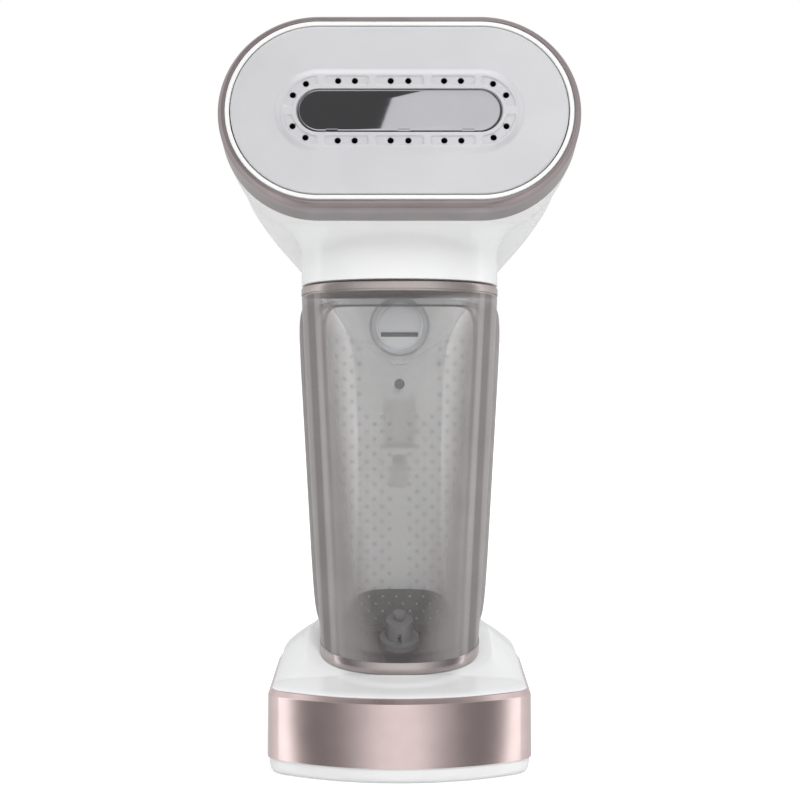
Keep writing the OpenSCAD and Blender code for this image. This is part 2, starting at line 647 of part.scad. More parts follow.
module control_board() color(board_green) {
  block([-24, 24], [17, 48], [12, 13.6]);
  color(rubber) block([-21, -7], [30, 42], [13.6 - eps, 24]);
  color("#4d6ea8") for (x = [10, 19]) translate([x, 24, 13.6 - eps]) cylinder(r = 3.6, h = 9);
  color(silver) block([-8, 4], [20, 22], [13.6 - eps, 24]);
}

module terminal_block() color("#e7e2d4") difference() {
  block([2, 22], [35, 45], [13.7, 23]);
  for (x = [7, 17]) translate([x, 40, 16]) cylinder(r = 2.2, h = 10);
}

module wiring_loom() color("#b33a32") for (x = [6, 8.6, 11.2]) wire(smooth([
  [x, 41, 24.5], [x, 44, 36], [x - 0.5, 47, 58], [x - 0.5, 48, 102], [x - 0.5, 48, 152],
  [x + 4, 43, 185], [x + 8, 31, 214], [x + 11, 12, 235], [x + 12, -7, 245]], 2), 1.1, 6);

// ---- controls ----

module steam_trigger() color(rose) difference() {
  union() {
    x_cylinder(4, -6, 6, pivot_y, pivot_z);
    hull() {
      x_cylinder(3.6, -6, 6, pivot_y, pivot_z);
      x_cylinder(3, -6, 6, pivot_y - 8, pivot_z - 8);
      x_cylinder(3, -6, 6, pivot_y - 9, pivot_z - 16);
    }
    hull() {
      x_cylinder(3, -6, 6, pivot_y - 9, pivot_z - 16);
      x_cylinder(3, -6, 6, pivot_y - 8.4, pivot_z - 24);
      x_cylinder(2.5, -6, 6, pivot_y - 10, pivot_z - 31);
      x_cylinder(2.5, -6, 6, pivot_y - 3, pivot_z - 29);
    }
  }
  x_cylinder(1.55, -10, 10, pivot_y, pivot_z);
}

module trigger_pin() color(steel) x_cylinder(1.5, -14, 14, pivot_y, pivot_z);

module trigger_spring() color(steel)
  translate([0, pivot_y + 1.1, pivot_z - 29]) rotate([-90, 0, 0]) spring(2.4, 0.35, 19, 5);

module trigger_switch() color(rubber) {
  block([-3.2, 3.2], [grip_y - 1, grip_y + 9], [pivot_z - 22, pivot_z - 2]);
  color(steel) block([-1.5, 1.5], [grip_y - 2.4, grip_y - 1 + eps], [pivot_z - 18, pivot_z - 15]);
}

module trigger_lock() color(rose) {
  block([-2.8, 2.8], [grip_y - 17.6, grip_y - 12], [lock_z - 4.5, lock_z + 3.5]);
  block([-4.6, 4.6], [grip_y - 12.7, grip_y - 11.1], [lock_z - 6, lock_z + 5]);
}

module power_button() color(silver) {
  y_cylinder(6.6, 0, button_y - 6.8, button_y + 0.9, button_z);
  y_cylinder(8, 0, button_y - 6.8, button_y - 4.8, button_z);
}

module button_switch() color(rubber) {
  block([-4, 4], [button_y - 14.2, button_y - 9.8], [button_z - 4, button_z + 4]);
  y_cylinder(1.7, 0, button_y - 9.8 - eps, button_y - 6.8 - button_travel, button_z);
}

module button_spring() color(steel)
  translate([0, button_y - 11.8, button_z]) rotate([-90, 0, 0]) spring(6.6, 0.35, 4.9, 3, 12);

module indicator_lens() color("#cfe6f5") {
  y_cylinder(2.3, 0, button_y - 5.3, button_y - 0.1, button_z + lens_rise);
  y_cylinder(3.4, 0, button_y - 6.2, button_y - 5, button_z + lens_rise);
}

// The latch's tooth stands just clear of the tank's top
latch_z = 192;
tooth_y = tank_back_y - 7;
tooth_gap = 0.9;
module tank_latch() color(white) {
  block([-8, 8], [tank_back_y - 2.2, tank_back_y + 2.4], [latch_z - 0.8, latch_z + 8]);
  block([-5, 5], [tooth_y, tank_back_y - 2.1], [top_plane(tooth_y) + tooth_gap, latch_z + 3]);
}

module latch_spring() color(steel)
  translate([0, tooth_y + 2.2, latch_z + 3.2]) spring(2.2, 0.35, 9, 5);

soleplate();
soleplate_inlay();
soleplate_trim();
head_bezel();
head_top_shell();
head_under_shell();
neck_shell();
grip_front_shell();
grip_rear_shell();
grip_screws();
steam_chamber();
chamber_gasket();
chamber_cover();
chamber_screws();
heating_element();
thermostat();
thermal_fuse();
insulator_frame();
tank_front_shell();
tank_rear_shell();
tank_top_trim();
tank_foot_trim();
outlet_valve_body();
valve_stem();
valve_spring();
stopper_strap();
filler_stopper();
base_cover();
base_band();
base_plate();
base_chassis();
rubber_feet();
base_screws();
tank_socket();
socket_seal();
pump();
pump_mounts();
suction_hose();
delivery_hose();
control_board();
terminal_block();
wiring_loom();
cord_gland();
steam_trigger();
trigger_pin();
trigger_spring();
trigger_switch();
trigger_lock();
power_button();
button_spring();
button_switch();
indicator_lens();
tank_latch();
latch_spring();
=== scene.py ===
import json
from math import asin, atan, atan2, cos, hypot, pi, radians, sin, sqrt, tan

import bmesh
import bpy
import numpy as np
from mathutils import Matrix, Vector
from mathutils.bvhtree import BVHTree


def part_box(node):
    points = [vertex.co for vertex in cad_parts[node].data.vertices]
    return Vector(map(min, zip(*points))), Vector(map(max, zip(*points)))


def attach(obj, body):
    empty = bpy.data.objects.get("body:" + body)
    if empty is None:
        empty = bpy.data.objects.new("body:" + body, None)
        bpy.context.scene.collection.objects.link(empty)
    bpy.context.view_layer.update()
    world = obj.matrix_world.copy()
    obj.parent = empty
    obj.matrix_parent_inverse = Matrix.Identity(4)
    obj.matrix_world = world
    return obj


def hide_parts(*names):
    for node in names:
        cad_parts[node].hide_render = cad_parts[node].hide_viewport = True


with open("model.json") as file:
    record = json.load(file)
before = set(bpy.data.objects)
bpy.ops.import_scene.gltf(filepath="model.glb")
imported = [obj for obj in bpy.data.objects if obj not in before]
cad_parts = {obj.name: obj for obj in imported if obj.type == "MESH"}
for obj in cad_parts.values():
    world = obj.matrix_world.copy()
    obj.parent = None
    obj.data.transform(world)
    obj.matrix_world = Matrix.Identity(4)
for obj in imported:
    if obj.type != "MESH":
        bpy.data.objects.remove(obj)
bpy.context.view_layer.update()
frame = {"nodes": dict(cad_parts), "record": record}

# ---------------------------------------------------------------- sizes, in millimetres
# Outlines are drawn in millimetres and become metres where a piece is made.
MM = 0.001


def cad_box(node):
    """A CAD node's lowest and highest corners in millimetres."""
    low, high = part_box(node)
    return np.array(low) * 1000, np.array(high) * 1000


HEAD_TILT = radians(15)
BEZEL_DEPTH = 20.0
bezel_low, bezel_high = cad_box("head_bezel")
trim_low, trim_high = cad_box("tank_top_trim")
foot_low = cad_box("tank_foot_trim")[0]
rear_high = cad_box("tank_rear_shell")[1]
band_low, band_high = cad_box("base_band")
stopper_high = cad_box("filler_stopper")[1]
button_low, button_high = cad_box("power_button")
lens_low, lens_high = cad_box("indicator_lens")
latch_low, latch_high = cad_box("tank_latch")
lock_low = cad_box("trigger_lock")[0]
pin_low, pin_high = cad_box("trigger_pin")
gland_low, gland_high = cad_box("cord_gland")

HEAD_R = 38.85
HEAD_S = (bezel_high[0] - bezel_low[0]) / 2 - HEAD_R
HEAD_Y = -48.0
HEAD_Z = 259.1
BEZEL_WALL = 2.6
BEVEL = 2.2
TRIM_R = HEAD_R - BEZEL_WALL - 0.1
TRIM_WALL = 1.85
PLATE_R = TRIM_R - TRIM_WALL - 0.4
PLATE_T = 6.0
BOSS_S = 31.0
BOSS_R = 14.5
BOSS_H = 1.2
BOSS_IN_R = 8.8
BOSS_V = -0.8
INLAY_S = 30.7
INLAY_R = 8.2
HOLE_V = 12.1
HOLE_R = 1.15
STEAM_HOLES = [(3.4, HOLE_V), (17.2, HOLE_V), (23.7, HOLE_V), (36.1, 10.9), (41.1, 6.3)]
RIB_X = [10.65, 30.35]

TANK_FRONT = trim_low[1] + 0.15
TANK_BULGE = 19.5
TANK_Y = TANK_FRONT + TANK_BULGE
TANK_BACK = rear_high[1]
TANK_SPLIT = TANK_BACK - 8
TANK_TOP_W = 79.0
TANK_FOOT_W = 64.4
TANK_WALL = 2.2
TOP_SLOPE = tan(radians(10.5))
FOOT_SLOPE = tan(radians(19.5))
TANK_TOP_Z = trim_high[2]
TANK_FOOT_Z = foot_low[2]
TRIM_H = 3.8
FOOT_TRIM_H = 4.6
NECK_GAP = 0.8
DOCK_GAP = 0.4
PLAN_POWER = 2.35

BAND_DRAFT = 0.3
BASE_W = band_high[0] - band_low[0] - 2 * BAND_DRAFT
BASE_FRONT = -band_low[1] - BAND_DRAFT
BASE_BACK = band_high[1] - BAND_DRAFT
BASE_ARC_R = 85.0
BASE_CORNER_R = 11.0
BASE_SIDE_BACK = 28.0
BAND_Z0 = band_low[2]
BAND_Z1 = band_high[2]
RIDGE_Z = 49.0

GRIP_Y = 44.0
SHELL_WALL = 2.4


def lerp(a, b, t):
    return a + (b - a) * t


def smoothstep(a, b, x):
    t = np.clip((np.asarray(x, float) - a) / (b - a), 0, 1)
    return t * t * (3 - 2 * t)


def power_curve(c, p):
    return np.sign(c) * np.abs(c) ** (2 / p)


def curve_through(points, steps):
    """A Catmull-Rom curve through the points, with that many steps between each two."""
    p = np.array(points, float)
    out = []
    for i in range(len(p) - 1):
        a, b, c, d = p[max(i - 1, 0)], p[i], p[i + 1], p[min(i + 2, len(p) - 1)]
        for t in np.arange(steps) / steps:
            out.append(0.5 * (2 * b + (c - a) * t + (2 * a - 5 * b + 4 * c - d) * t * t
                              + (3 * b - a - 3 * c + d) * t ** 3))
    out.append(p[-1])
    return np.array(out)


# ---------------------------------------------------------------- mesh helpers
def shade_smooth(work, smooth_angle):
    """Smooth shading with sharp edges above an angle."""
    for edge in work.edges:
        sharp = len(edge.link_faces) != 2 or edge.calc_face_angle(0) > radians(smooth_angle)
        edge.smooth = not sharp
    for face in work.faces:
        face.smooth = True


def make_piece(name, points, faces, material, smooth_angle=40):
    """A mesh object from points in millimetres, with its faces turned outwards."""
    mesh = bpy.data.meshes.new(name)
    mesh.from_pydata([tuple(np.asarray(p) * MM) for p in points], [], faces)
    piece = bpy.data.objects.new(name, mesh)
    bpy.context.scene.collection.objects.link(piece)
    work = bmesh.new()
    work.from_mesh(mesh)
    bmesh.ops.remove_doubles(work, verts=work.verts, dist=1e-7)
    bmesh.ops.recalc_face_normals(work, faces=work.faces)
    shade_smooth(work, smooth_angle)
    work.to_mesh(mesh)
    work.free()
    mesh.materials.append(material)
    return piece


def skin_faces(rings, loop, start):
    """Faces of a skin through rings of equally many points: a closed loop, or a solid with two ends."""
    m, n = len(rings), len(rings[0])
    faces = []
    for i in range(m if loop else m - 1):
        for j in range(n):
            a, b = start + i * n + j, start + i * n + (j + 1) % n
            up = start + ((i + 1) % m) * n
            faces.append((a, b, up + (j + 1) % n, up + j))
    if not loop:
        faces.append(tuple(range(start + n - 1, start - 1, -1)))
        faces.append(tuple(range(start + (m - 1) * n, start + m * n)))
    return faces


def join_parts(name, parts, material, loop=False, smooth_angle=40):
    """One object from several skins, each a list of rings."""
    points, faces = [], []
    for rings in parts:
        faces += skin_faces(rings, loop, len(points))
        points += [p for ring in rings for p in ring]
    return make_piece(name, points, faces, material, smooth_angle)


def skin(name, rings, material, loop=False, smooth_angle=50):
    return join_parts(name, [rings], material, loop, smooth_angle)


def add_bevel(piece, width):
    bevel = piece.modifiers.new("edge", "BEVEL")
    bevel.width = width * MM
    bevel.segments = 2
    bevel.limit_method = "ANGLE"
    bevel.angle_limit = radians(50)
    bevel.harden_normals = False


def bake(piece):
    """Puts a piece's modifiers into its own mesh."""
    graph = bpy.context.evaluated_depsgraph_get()
    mesh = bpy.data.meshes.new_from_object(piece.evaluated_get(graph))
    piece.modifiers.clear()
    piece.data = mesh


def cut(piece, cutter, mode="DIFFERENCE"):
    """Takes the cutter's shape out of the piece, or joins it on, and removes the cutter."""
    bake(piece)
    boolean = piece.modifiers.new("cut", "BOOLEAN")
    boolean.operation = mode
    boolean.solver = "EXACT"
    boolean.object = cutter
    bpy.context.view_layer.update()
    bake(piece)
    bpy.data.objects.remove(cutter)


def cut_parts(piece, parts, mode="DIFFERENCE"):
    """Takes one closed part after another out of the piece, or adds them to it."""
    for rings in parts:
        cut(piece, skin("tool", rings, piece.data.materials[0], smooth_angle=40), mode)


def sharpen(piece, smooth_angle):
    """Sets a finished mesh's smooth shading and sharp edges."""
    work = bmesh.new()
    work.from_mesh(piece.data)
    shade_smooth(work, smooth_angle)
    work.to_mesh(piece.data)
    work.free()


def united(name, parts, material):
    """One closed piece from parts that overlap."""
    piece = skin(name, parts[0], material, smooth_angle=40)
    cut_parts(piece, parts[1:], "UNION")
    sharpen(piece, 40)
    return piece


def add_parts(piece, parts, material, loop=False):
    """Adds closed parts of another material to a piece."""
    extra = join_parts("extra", parts, material, loop)
    piece.data.materials.append(material)
    work = bmesh.new()
    work.from_mesh(piece.data)
    own = len(work.faces)
    work.from_mesh(extra.data)
    work.faces.ensure_lookup_table()
    for face in work.faces[own:]:
        face.material_index = len(piece.data.materials) - 1
    work.to_mesh(piece.data)
    work.free()
    bpy.data.objects.remove(extra)


ROD_EDGE = 0.6


def rod_hull(name, rods, half, material):
    """The hull round rods along X, each [radius, y, z], with softened ends."""
    mesh = bpy.data.meshes.new(name)
    piece = bpy.data.objects.new(name, mesh)
    bpy.context.scene.collection.objects.link(piece)
    work = bmesh.new()
    for r, y, z in rods:
        for x, d in ((-half, ROD_EDGE), (ROD_EDGE / 3 - half, ROD_EDGE / 3), (ROD_EDGE - half, 0),
                     (half - ROD_EDGE, 0), (half - ROD_EDGE / 3, ROD_EDGE / 3), (half, ROD_EDGE)):
            for a in np.linspace(0, 2 * pi, 28, endpoint=False):
                work.verts.new(Vector((x, y + (r - d) * cos(a), z + (r - d) * sin(a))) * MM)
    hull = bmesh.ops.convex_hull(work, input=work.verts)
    bmesh.ops.delete(work, geom=hull["geom_interior"], context="VERTS")
    bmesh.ops.recalc_face_normals(work, faces=work.faces)
    work.to_mesh(mesh)
    work.free()
    mesh.materials.append(material)
    return piece


def finish_piece(piece, body, node):
    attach(piece, body)
    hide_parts(node)


def turned(centre, axis, profile, n):
    """Rings of a turned shape: the profile is [radius, distance along the axis] pairs."""
    axis = Vector(axis)
    side = Vector((1, 0, 0) if abs(axis.z) > 0.9 else (0, 0, 1)).cross(axis).normalized()
    top = axis.cross(side)
    angles = [2 * pi * k / n for k in range(n)]
    rings = []
    for r, d in profile:
        # A pole keeps a tiny ring, so that every ring has as many points
        r = max(r, 0.01)
        middle = Vector(centre) + axis * d
        rings.append([middle + side * (r * cos(a)) + top * (r * sin(a)) for a in angles])
    return rings


def y_turned(profile, z, n=32, y=0):
    """A part turned round an axis along Y at height z: the profile is [radius, distance behind y] pairs."""
    return turned((0, y, z), (0, 1, 0), profile, n)


def y_bar(r, y0, y1, z, n=32):
    return y_turned(((r, y0), (r, y1)), z, n)


def x_bar(r, half, y, z, n=20):
    return turned((0, y, z), (1, 0, 0), ((r, -half), (r, half)), n)


def rounded_box(x, y, z, r, edge=0.02):
    """A box between pairs of x, y and z, its upright edges rounded by r, the others by edge."""
    (x0, x1), (y0, y1), (z0, z1) = x, y, z
    quarter = np.linspace(0, pi / 2, 4)
    levels = ([(edge * (1 - sin(t)), z0 + edge * (1 - cos(t))) for t in quarter]
              + [(edge * (1 - cos(t)), z1 - edge * (1 - sin(t))) for t in quarter])
    corners = ((x1 - r, y1 - r, 0), (x0 + r, y1 - r, 90), (x0 + r, y0 + r, 180), (x1 - r, y0 + r, 270))
    return [[(cx + (r - d) * cos(a), cy + (r - d) * sin(a), level)
             for cx, cy, first in corners for a in np.radians(np.linspace(first, first + 90, 7))]
            for d, level in levels]


# ---------------------------------------------------------------- materials
def new_material(name):
    material = bpy.data.materials.new(name)
    material.use_nodes = True
    return material, material.node_tree.nodes, material.node_tree.links


def add_node(nodes, kind, values=(), **settings):
    """A shader node with its settings and the values of its inputs."""
    node = nodes.new("ShaderNode" + kind)
    for key, value in settings.items():
        setattr(node, key, value)
    for key, value in dict(values).items():
        node.inputs[key].default_value = value
    return node


def add_ramp(nodes, stops):
    """A colour ramp node: stops are [place, colour], and a single number is a grey."""
    ramp = add_node(nodes, "ValToRGB")
    elements = ramp.color_ramp.elements
    while len(elements) < len(stops):
        elements.new(0.5)
    for element, (place, colour) in zip(elements, stops):
        element.position = place
        element.color = (*colour, 1) if isinstance(colour, tuple) else (colour, colour, colour, 1)
    return ramp


def mix_colours(nodes, links, first, second, blend):
    """A node that mixes two colours, with the socket that it gives them out by."""
    mix = add_node(nodes, "Mix", {"Factor": 1.0}, data_type="RGBA", blend_type=blend)
    for source, socket in zip((first, second), [socket for socket in mix.inputs if socket.type == "RGBA"]):
        links.new(source, socket)
    return mix, [socket for socket in mix.outputs if socket.type == "RGBA"][0]


def textured(name, dark, light, rough, grain, depth, patch=25.0, **sockets):
    """A material whose colour, roughness and relief vary gently over the surface.

    dark and light are the colour's ends, rough the roughness's, grain the size of the relief
    in millimetres and depth its height; patch is the size of the colour's variation."""
    material, nodes, links = new_material(name)
    shader = nodes["Principled BSDF"]
    for key, value in sockets.items():
        shader.inputs[key.replace("_", " ")].default_value = value
    where = add_node(nodes, "TexCoord")
    wide = add_node(nodes, "TexNoise", {"Scale": 1000 / patch, "Detail": 3.0})
    fine = add_node(nodes, "TexNoise", {"Scale": 1000 / grain, "Detail": 4.0})
    ramp = add_ramp(nodes, ((0.3, dark), (0.7, light)))
    spread = add_node(nodes, "MapRange", {"To Min": rough[0], "To Max": rough[1]})
    relief = add_node(nodes, "Bump", {"Strength": 1.0, "Distance": depth * MM})
    for source, out, target, into in (
            (where, "Object", wide, "Vector"), (where, "Object", fine, "Vector"), (wide, "Fac", ramp, "Fac"),
            (fine, "Fac", spread, "Value"), (fine, "Fac", relief, "Height"),
            (ramp, "Color", shader, "Base Color"), (spread, "Result", shader, "Roughness"),
            (relief, "Normal", shader, "Normal")):
        links.new(source.outputs[out], target.inputs[into])
    return material


white_plastic = textured("white_plastic", (0.85, 0.855, 0.86), (0.89, 0.895, 0.90), (0.20, 0.30), 0.9, 0.0012,
                         Coat_Weight=0.35, Coat_Roughness=0.08, IOR=1.48)
rim_plastic = textured("rim_plastic", (0.82, 0.82, 0.81), (0.88, 0.88, 0.87), (0.28, 0.38), 0.7, 0.0015,
                       Coat_Weight=0.2, Coat_Roughness=0.12, IOR=1.48)
band_metal = textured("band_metal", (0.62, 0.50, 0.49), (0.67, 0.55, 0.54), (0.17, 0.25), 0.35, 0.0006,
                      patch=12.0, Metallic=1.0, Coat_Weight=0.25, Coat_Roughness=0.12)
bezel_metal = textured("bezel_metal", (0.335, 0.285, 0.292), (0.375, 0.32, 0.327), (0.28, 0.38), 0.35, 0.0008,
                       patch=12.0, Metallic=1.0, Coat_Weight=0.15, Coat_Roughness=0.2)
trim_metal = textured("trim_metal", (0.42, 0.37, 0.36), (0.47, 0.42, 0.41), (0.24, 0.34), 0.35, 0.0008,
                      patch=10.0, Metallic=0.8, Coat_Weight=0.3, Coat_Roughness=0.1)
plate_coating = textured("plate_coating", (0.62, 0.62, 0.64), (0.66, 0.66, 0.68), (0.38, 0.48), 0.25, 0.0025,
                         patch=30.0, Metallic=0.35, Coat_Weight=0.1, Coat_Roughness=0.3)
inlay_metal = textured("inlay_metal", (0.44, 0.44, 0.46), (0.47, 0.47, 0.49), (0.02, 0.04), 0.6, 0.0002,
                       patch=20.0, Metallic=1.0, Coat_Weight=0.5, Coat_Roughness=0.03)
smoked = textured("smoked", (0.37, 0.345, 0.34), (0.43, 0.40, 0.395), (0.24, 0.34), 0.8, 0.001,
                  patch=18.0, Coat_Weight=0.3, Coat_Roughness=0.1)
smoked_rear = textured("smoked_rear", (0.74, 0.74, 0.735), (0.80, 0.80, 0.795), (0.32, 0.42), 0.8, 0.001,
                       patch=18.0)
smoked_rib = textured("smoked_rib", (0.20, 0.185, 0.182), (0.26, 0.24, 0.235), (0.25, 0.35), 0.8, 0.001,
                      patch=18.0, Alpha=0.45)
smoked_stud = textured("smoked_stud", (0.46, 0.46, 0.455), (0.54, 0.54, 0.535), (0.25, 0.35), 0.8, 0.001,
                       patch=18.0, Alpha=0.11)
pale_pin = textured("pale_pin", (0.50, 0.50, 0.49), (0.58, 0.58, 0.57), (0.3, 0.4), 0.5, 0.002, Alpha=0.7)
foot_metal = textured("foot_metal", (0.42, 0.37, 0.36), (0.47, 0.42, 0.41), (0.2, 0.28), 0.35, 0.0006,
                      patch=12.0, Metallic=1.0, Coat_Weight=0.25, Coat_Roughness=0.12)
# Painted shadow: a dark, nearly opaque sheet that stands in for the shadow low in the tank
painted_shadow_screen = textured("painted_shadow_screen", (0.13, 0.135, 0.13), (0.17, 0.175, 0.17), (0.5, 0.6), 0.5, 0.004,
                        patch=9.0, Alpha=0.85)
# Painted glow: this grey gives off a little light of its own, standing in for light that shines through the
# stopper and its strap from behind
painted_glow_grey = textured("painted_glow_grey", (0.78, 0.79, 0.80), (0.84, 0.85, 0.86), (0.5, 0.62), 0.4, 0.006,
                     Emission_Color=(0.9, 0.95, 1, 1), Emission_Strength=0.15)
shade_grey = textured("shade_grey", (0.17, 0.175, 0.18), (0.22, 0.225, 0.23), (0.5, 0.62), 0.4, 0.006)
# Painted shade: near black for the insides of the steam holes
bore_painted_shade = textured("bore_painted_shade", (0.004, 0.004, 0.004), (0.008, 0.008, 0.008), (0.7, 0.85), 0.4, 0.003)
black_rubber = textured("black_rubber", (0.018, 0.018, 0.02), (0.035, 0.035, 0.037), (0.6, 0.8), 0.3, 0.01)
dark_plastic = textured("dark_plastic", (0.03, 0.03, 0.033), (0.05, 0.05, 0.054), (0.4, 0.55), 0.4, 0.006)
grey_plastic = textured("grey_plastic", (0.26, 0.27, 0.29), (0.33, 0.34, 0.36), (0.4, 0.55), 0.4, 0.006)
alloy = textured("cast_alloy", (0.46, 0.46, 0.48), (0.56, 0.56, 0.58), (0.42, 0.6), 0.5, 0.02, Metallic=1.0)
steel = textured("steel", (0.46, 0.47, 0.49), (0.56, 0.57, 0.59), (0.25, 0.38), 0.2, 0.002, Metallic=1.0)
sheath = textured("sheath", (0.12, 0.10, 0.09), (0.22, 0.18, 0.16), (0.4, 0.55), 0.3, 0.004, Metallic=1.0)
brass = textured("brass", (0.55, 0.37, 0.12), (0.66, 0.46, 0.17), (0.28, 0.4), 0.3, 0.003, Metallic=1.0)
silicone = textured("silicone", (0.58, 0.55, 0.50), (0.66, 0.63, 0.58), (0.4, 0.5), 0.5, 0.004,
                    Transmission_Weight=0.15)
board = textured("solder_mask", (0.02, 0.12, 0.05), (0.05, 0.20, 0.09), (0.3, 0.42), 0.6, 0.01, patch=3.0)
wire_red = textured("wire_red", (0.40, 0.03, 0.02), (0.50, 0.06, 0.04), (0.4, 0.5), 0.4, 0.004)
lens_clear = textured("lens_clear", (0.50, 0.68, 0.84), (0.60, 0.76, 0.90), (0.08, 0.14), 0.5, 0.001,
                      Transmission_Weight=0.7, IOR=1.45)

def from_middle(material, taper):
    """A material's value for the distance from the middle plane less taper times the height."""
    nodes, links = material.node_tree.nodes, material.node_tree.links
    where = add_node(nodes, "TexCoord")
    split = add_node(nodes, "SeparateXYZ")
    across = add_node(nodes, "Math", operation="ABSOLUTE")
    lean = add_node(nodes, "Math", {1: -taper}, operation="MULTIPLY_ADD")
    links.new(where.outputs["Object"], split.inputs[0])
    links.new(split.outputs["X"], across.inputs[0])
    links.new(split.outputs["Z"], lean.inputs[0])
    links.new(across.outputs[0], lean.inputs[2])
    return lean.outputs[0]


def spanned(material, taper, start, end, low=0.0, high=1.0, curve="LINEAR"):
    """from_middle between start and end millimetres, turned into a value from low to high."""
    ends = {"From Min": start * MM, "From Max": end * MM, "To Min": low, "To Max": high}
    span = add_node(material.node_tree.nodes, "MapRange", ends, interpolation_type=curve)
    material.node_tree.links.new(from_middle(material, taper), span.inputs["Value"])
    return span.outputs["Result"]


def clear_towards(material, taper, start, end, thin, thick):
    """Makes a clear wall denser from start to end."""
    alpha = material.node_tree.nodes["Principled BSDF"].inputs["Alpha"]
    material.node_tree.links.new(spanned(material, taper, start, end, thin, thick, "SMOOTHSTEP"), alpha)


def painted_side_reflections(material, taper, start, end, levels):
    """Painted reflections: light and dark lines along a part's sides, multiplied into its colour; levels are
    [place between start and end, brightness].
    """
    nodes, links = material.node_tree.nodes, material.node_tree.links
    ramp = add_ramp(nodes, levels)
    links.new(spanned(material, taper, start, end), ramp.inputs["Fac"])
    colour = nodes["Principled BSDF"].inputs["Base Color"]
    shaded = mix_colours(nodes, links, colour.links[0].from_socket, ramp.outputs["Color"], "MULTIPLY")[1]
    links.new(shaded, colour)


# The front wall is clear in the middle and dense at the sides, and the rear wall denser towards the foot.
# start and end are millimetres from the middle plane less taper times the height, thin and thick opacities.
WALL_TAPER = (TANK_TOP_W - TANK_FOOT_W) / 2 / (TANK_TOP_Z - TANK_FOOT_Z)
# Brightness of the painted reflection lines across the front wall's sides
PAINTED_REFLECTION_LEVELS = ((0, 0.74), (0.18, 0.84), (0.30, 0.64), (0.41, 0.96), (0.5, 0.94), (0.56, 0.57), (0.74, 0.56),
               (0.82, 0.95), (1, 0.95))
clear_towards(smoked, taper=0.12, start=0.5, end=15.0, thin=0.13, thick=0.76)
clear_towards(smoked_rear, taper=1.5, start=-258.0, end=-213.0, thin=0.12, thick=0.5)
# Painted reflections: light and dark lines down the front wall's sides stand in for the reflections in its
# corners
painted_side_reflections(smoked, WALL_TAPER, 19.0, 31.0, PAINTED_REFLECTION_LEVELS)

SLOT_MATERIALS = {
    "body_white": white_plastic, "rose_band": band_metal, "bezel_rose": bezel_metal,
    "tank_smoke": smoked, "plate_silver": plate_coating, "inlay_mirror": inlay_metal,
    "cast_alloy": alloy, "steel": steel, "element_sheath": sheath, "brass": brass,
    "silicone": silicone, "black_rubber": black_rubber, "stopper_grey": painted_glow_grey,
    "inner_grey": grey_plastic, "inner_dark": dark_plastic, "board_green": board,
    "wire_red": wire_red, "lens_blue": lens_clear,
}
for row in frame["record"]["subparts"]:
    node = frame["nodes"][row["node"]]
    node.data.materials.clear()
    node.data.materials.append(SLOT_MATERIALS[row["material_slot"]])
    for polygon in node.data.polygons:
        polygon.material_index = 0

frame["nodes"]["valve_stem"].data.materials[0] = shade_grey
frame["nodes"]["outlet_valve_body"].data.materials[0] = shade_grey

# ---------------------------------------------------------------- head: bezel, rim, plate, inlay
plate_to_frame = Matrix.Translation((0, HEAD_Y, HEAD_Z)) @ Matrix.Rotation(pi / 2 - HEAD_TILT, 4, "X")


def on_plate(rings):
    return [[plate_to_frame @ Vector(p) for p in ring] for ring in rings]


def stadium_loop(half, r, w, n, straight=1):
    """A stadium outline at height w, anticlockwise, with its tangent points in it."""
    points = []
    for side in (1, -1):
        for k in range(n + 1):
            a = radians(180 * k / n - 90 * side)
            points.append((side * half + r * cos(a), r * sin(a), w))
        x0, y0 = points[-1][:2]
        for k in range(1, straight):
            points.append((lerp(x0, -side * half, k / straight), y0, w))
    return points


def head_ring(name, profile, material):
    """A ring that follows the head's outline: the profile is [radius, height] pairs."""
    return skin(name, on_plate([stadium_loop(HEAD_S, r, w, 96) for r, w in profile]), material, loop=True)


def fillet(r, from_angle, to_angle, cx, cy, n=5):
    """An arc of a profile, as [radius, height] pairs."""
    return [(cx + r * cos(radians(a)), cy + r * sin(radians(a)))
            for a in np.linspace(from_angle, to_angle, n)]


bezel = head_ring("bezel_ring", [(HEAD_R - 0.5, -BEZEL_DEPTH), (HEAD_R, 0.5 - BEZEL_DEPTH)]
                  + fillet(0.7, 0, 38, HEAD_R - 0.7, -BEVEL - 0.5)
                  + fillet(0.5, 42, 90, HEAD_R - BEVEL + 0.55, -0.5)
                  + fillet(0.35, 90, 180, HEAD_R - BEZEL_WALL + 0.35, -0.35, 4)
                  + [(HEAD_R - BEZEL_WALL, -BEZEL_DEPTH)], bezel_metal)
finish_piece(bezel, "body", "head_bezel")

rim = head_ring("plate_rim", [(TRIM_R, -PLATE_T)] + fillet(0.5, 0, 90, TRIM_R - 0.5, -0.7)
                + fillet(0.5, 90, 180, TRIM_R - TRIM_WALL + 0.5, -0.7) + [(TRIM_R - TRIM_WALL, -PLATE_T)],
                rim_plastic)
finish_piece(rim, "body", "soleplate_trim")

# The plate's raised ring, with pockets sunk into its top between ribs
RING_ARC = 90
RING_STRAIGHT = 190
BOSS_FOOT = BOSS_R + 3.0
POCKET_OUT = BOSS_R - 0.4
POCKET_IN = BOSS_R - 4.4
POCKET_DEPTH = 0.75
POCKET_CORNER = 1.2
RIB_HALF = 1.15
END_RIB_HALF = 1.5


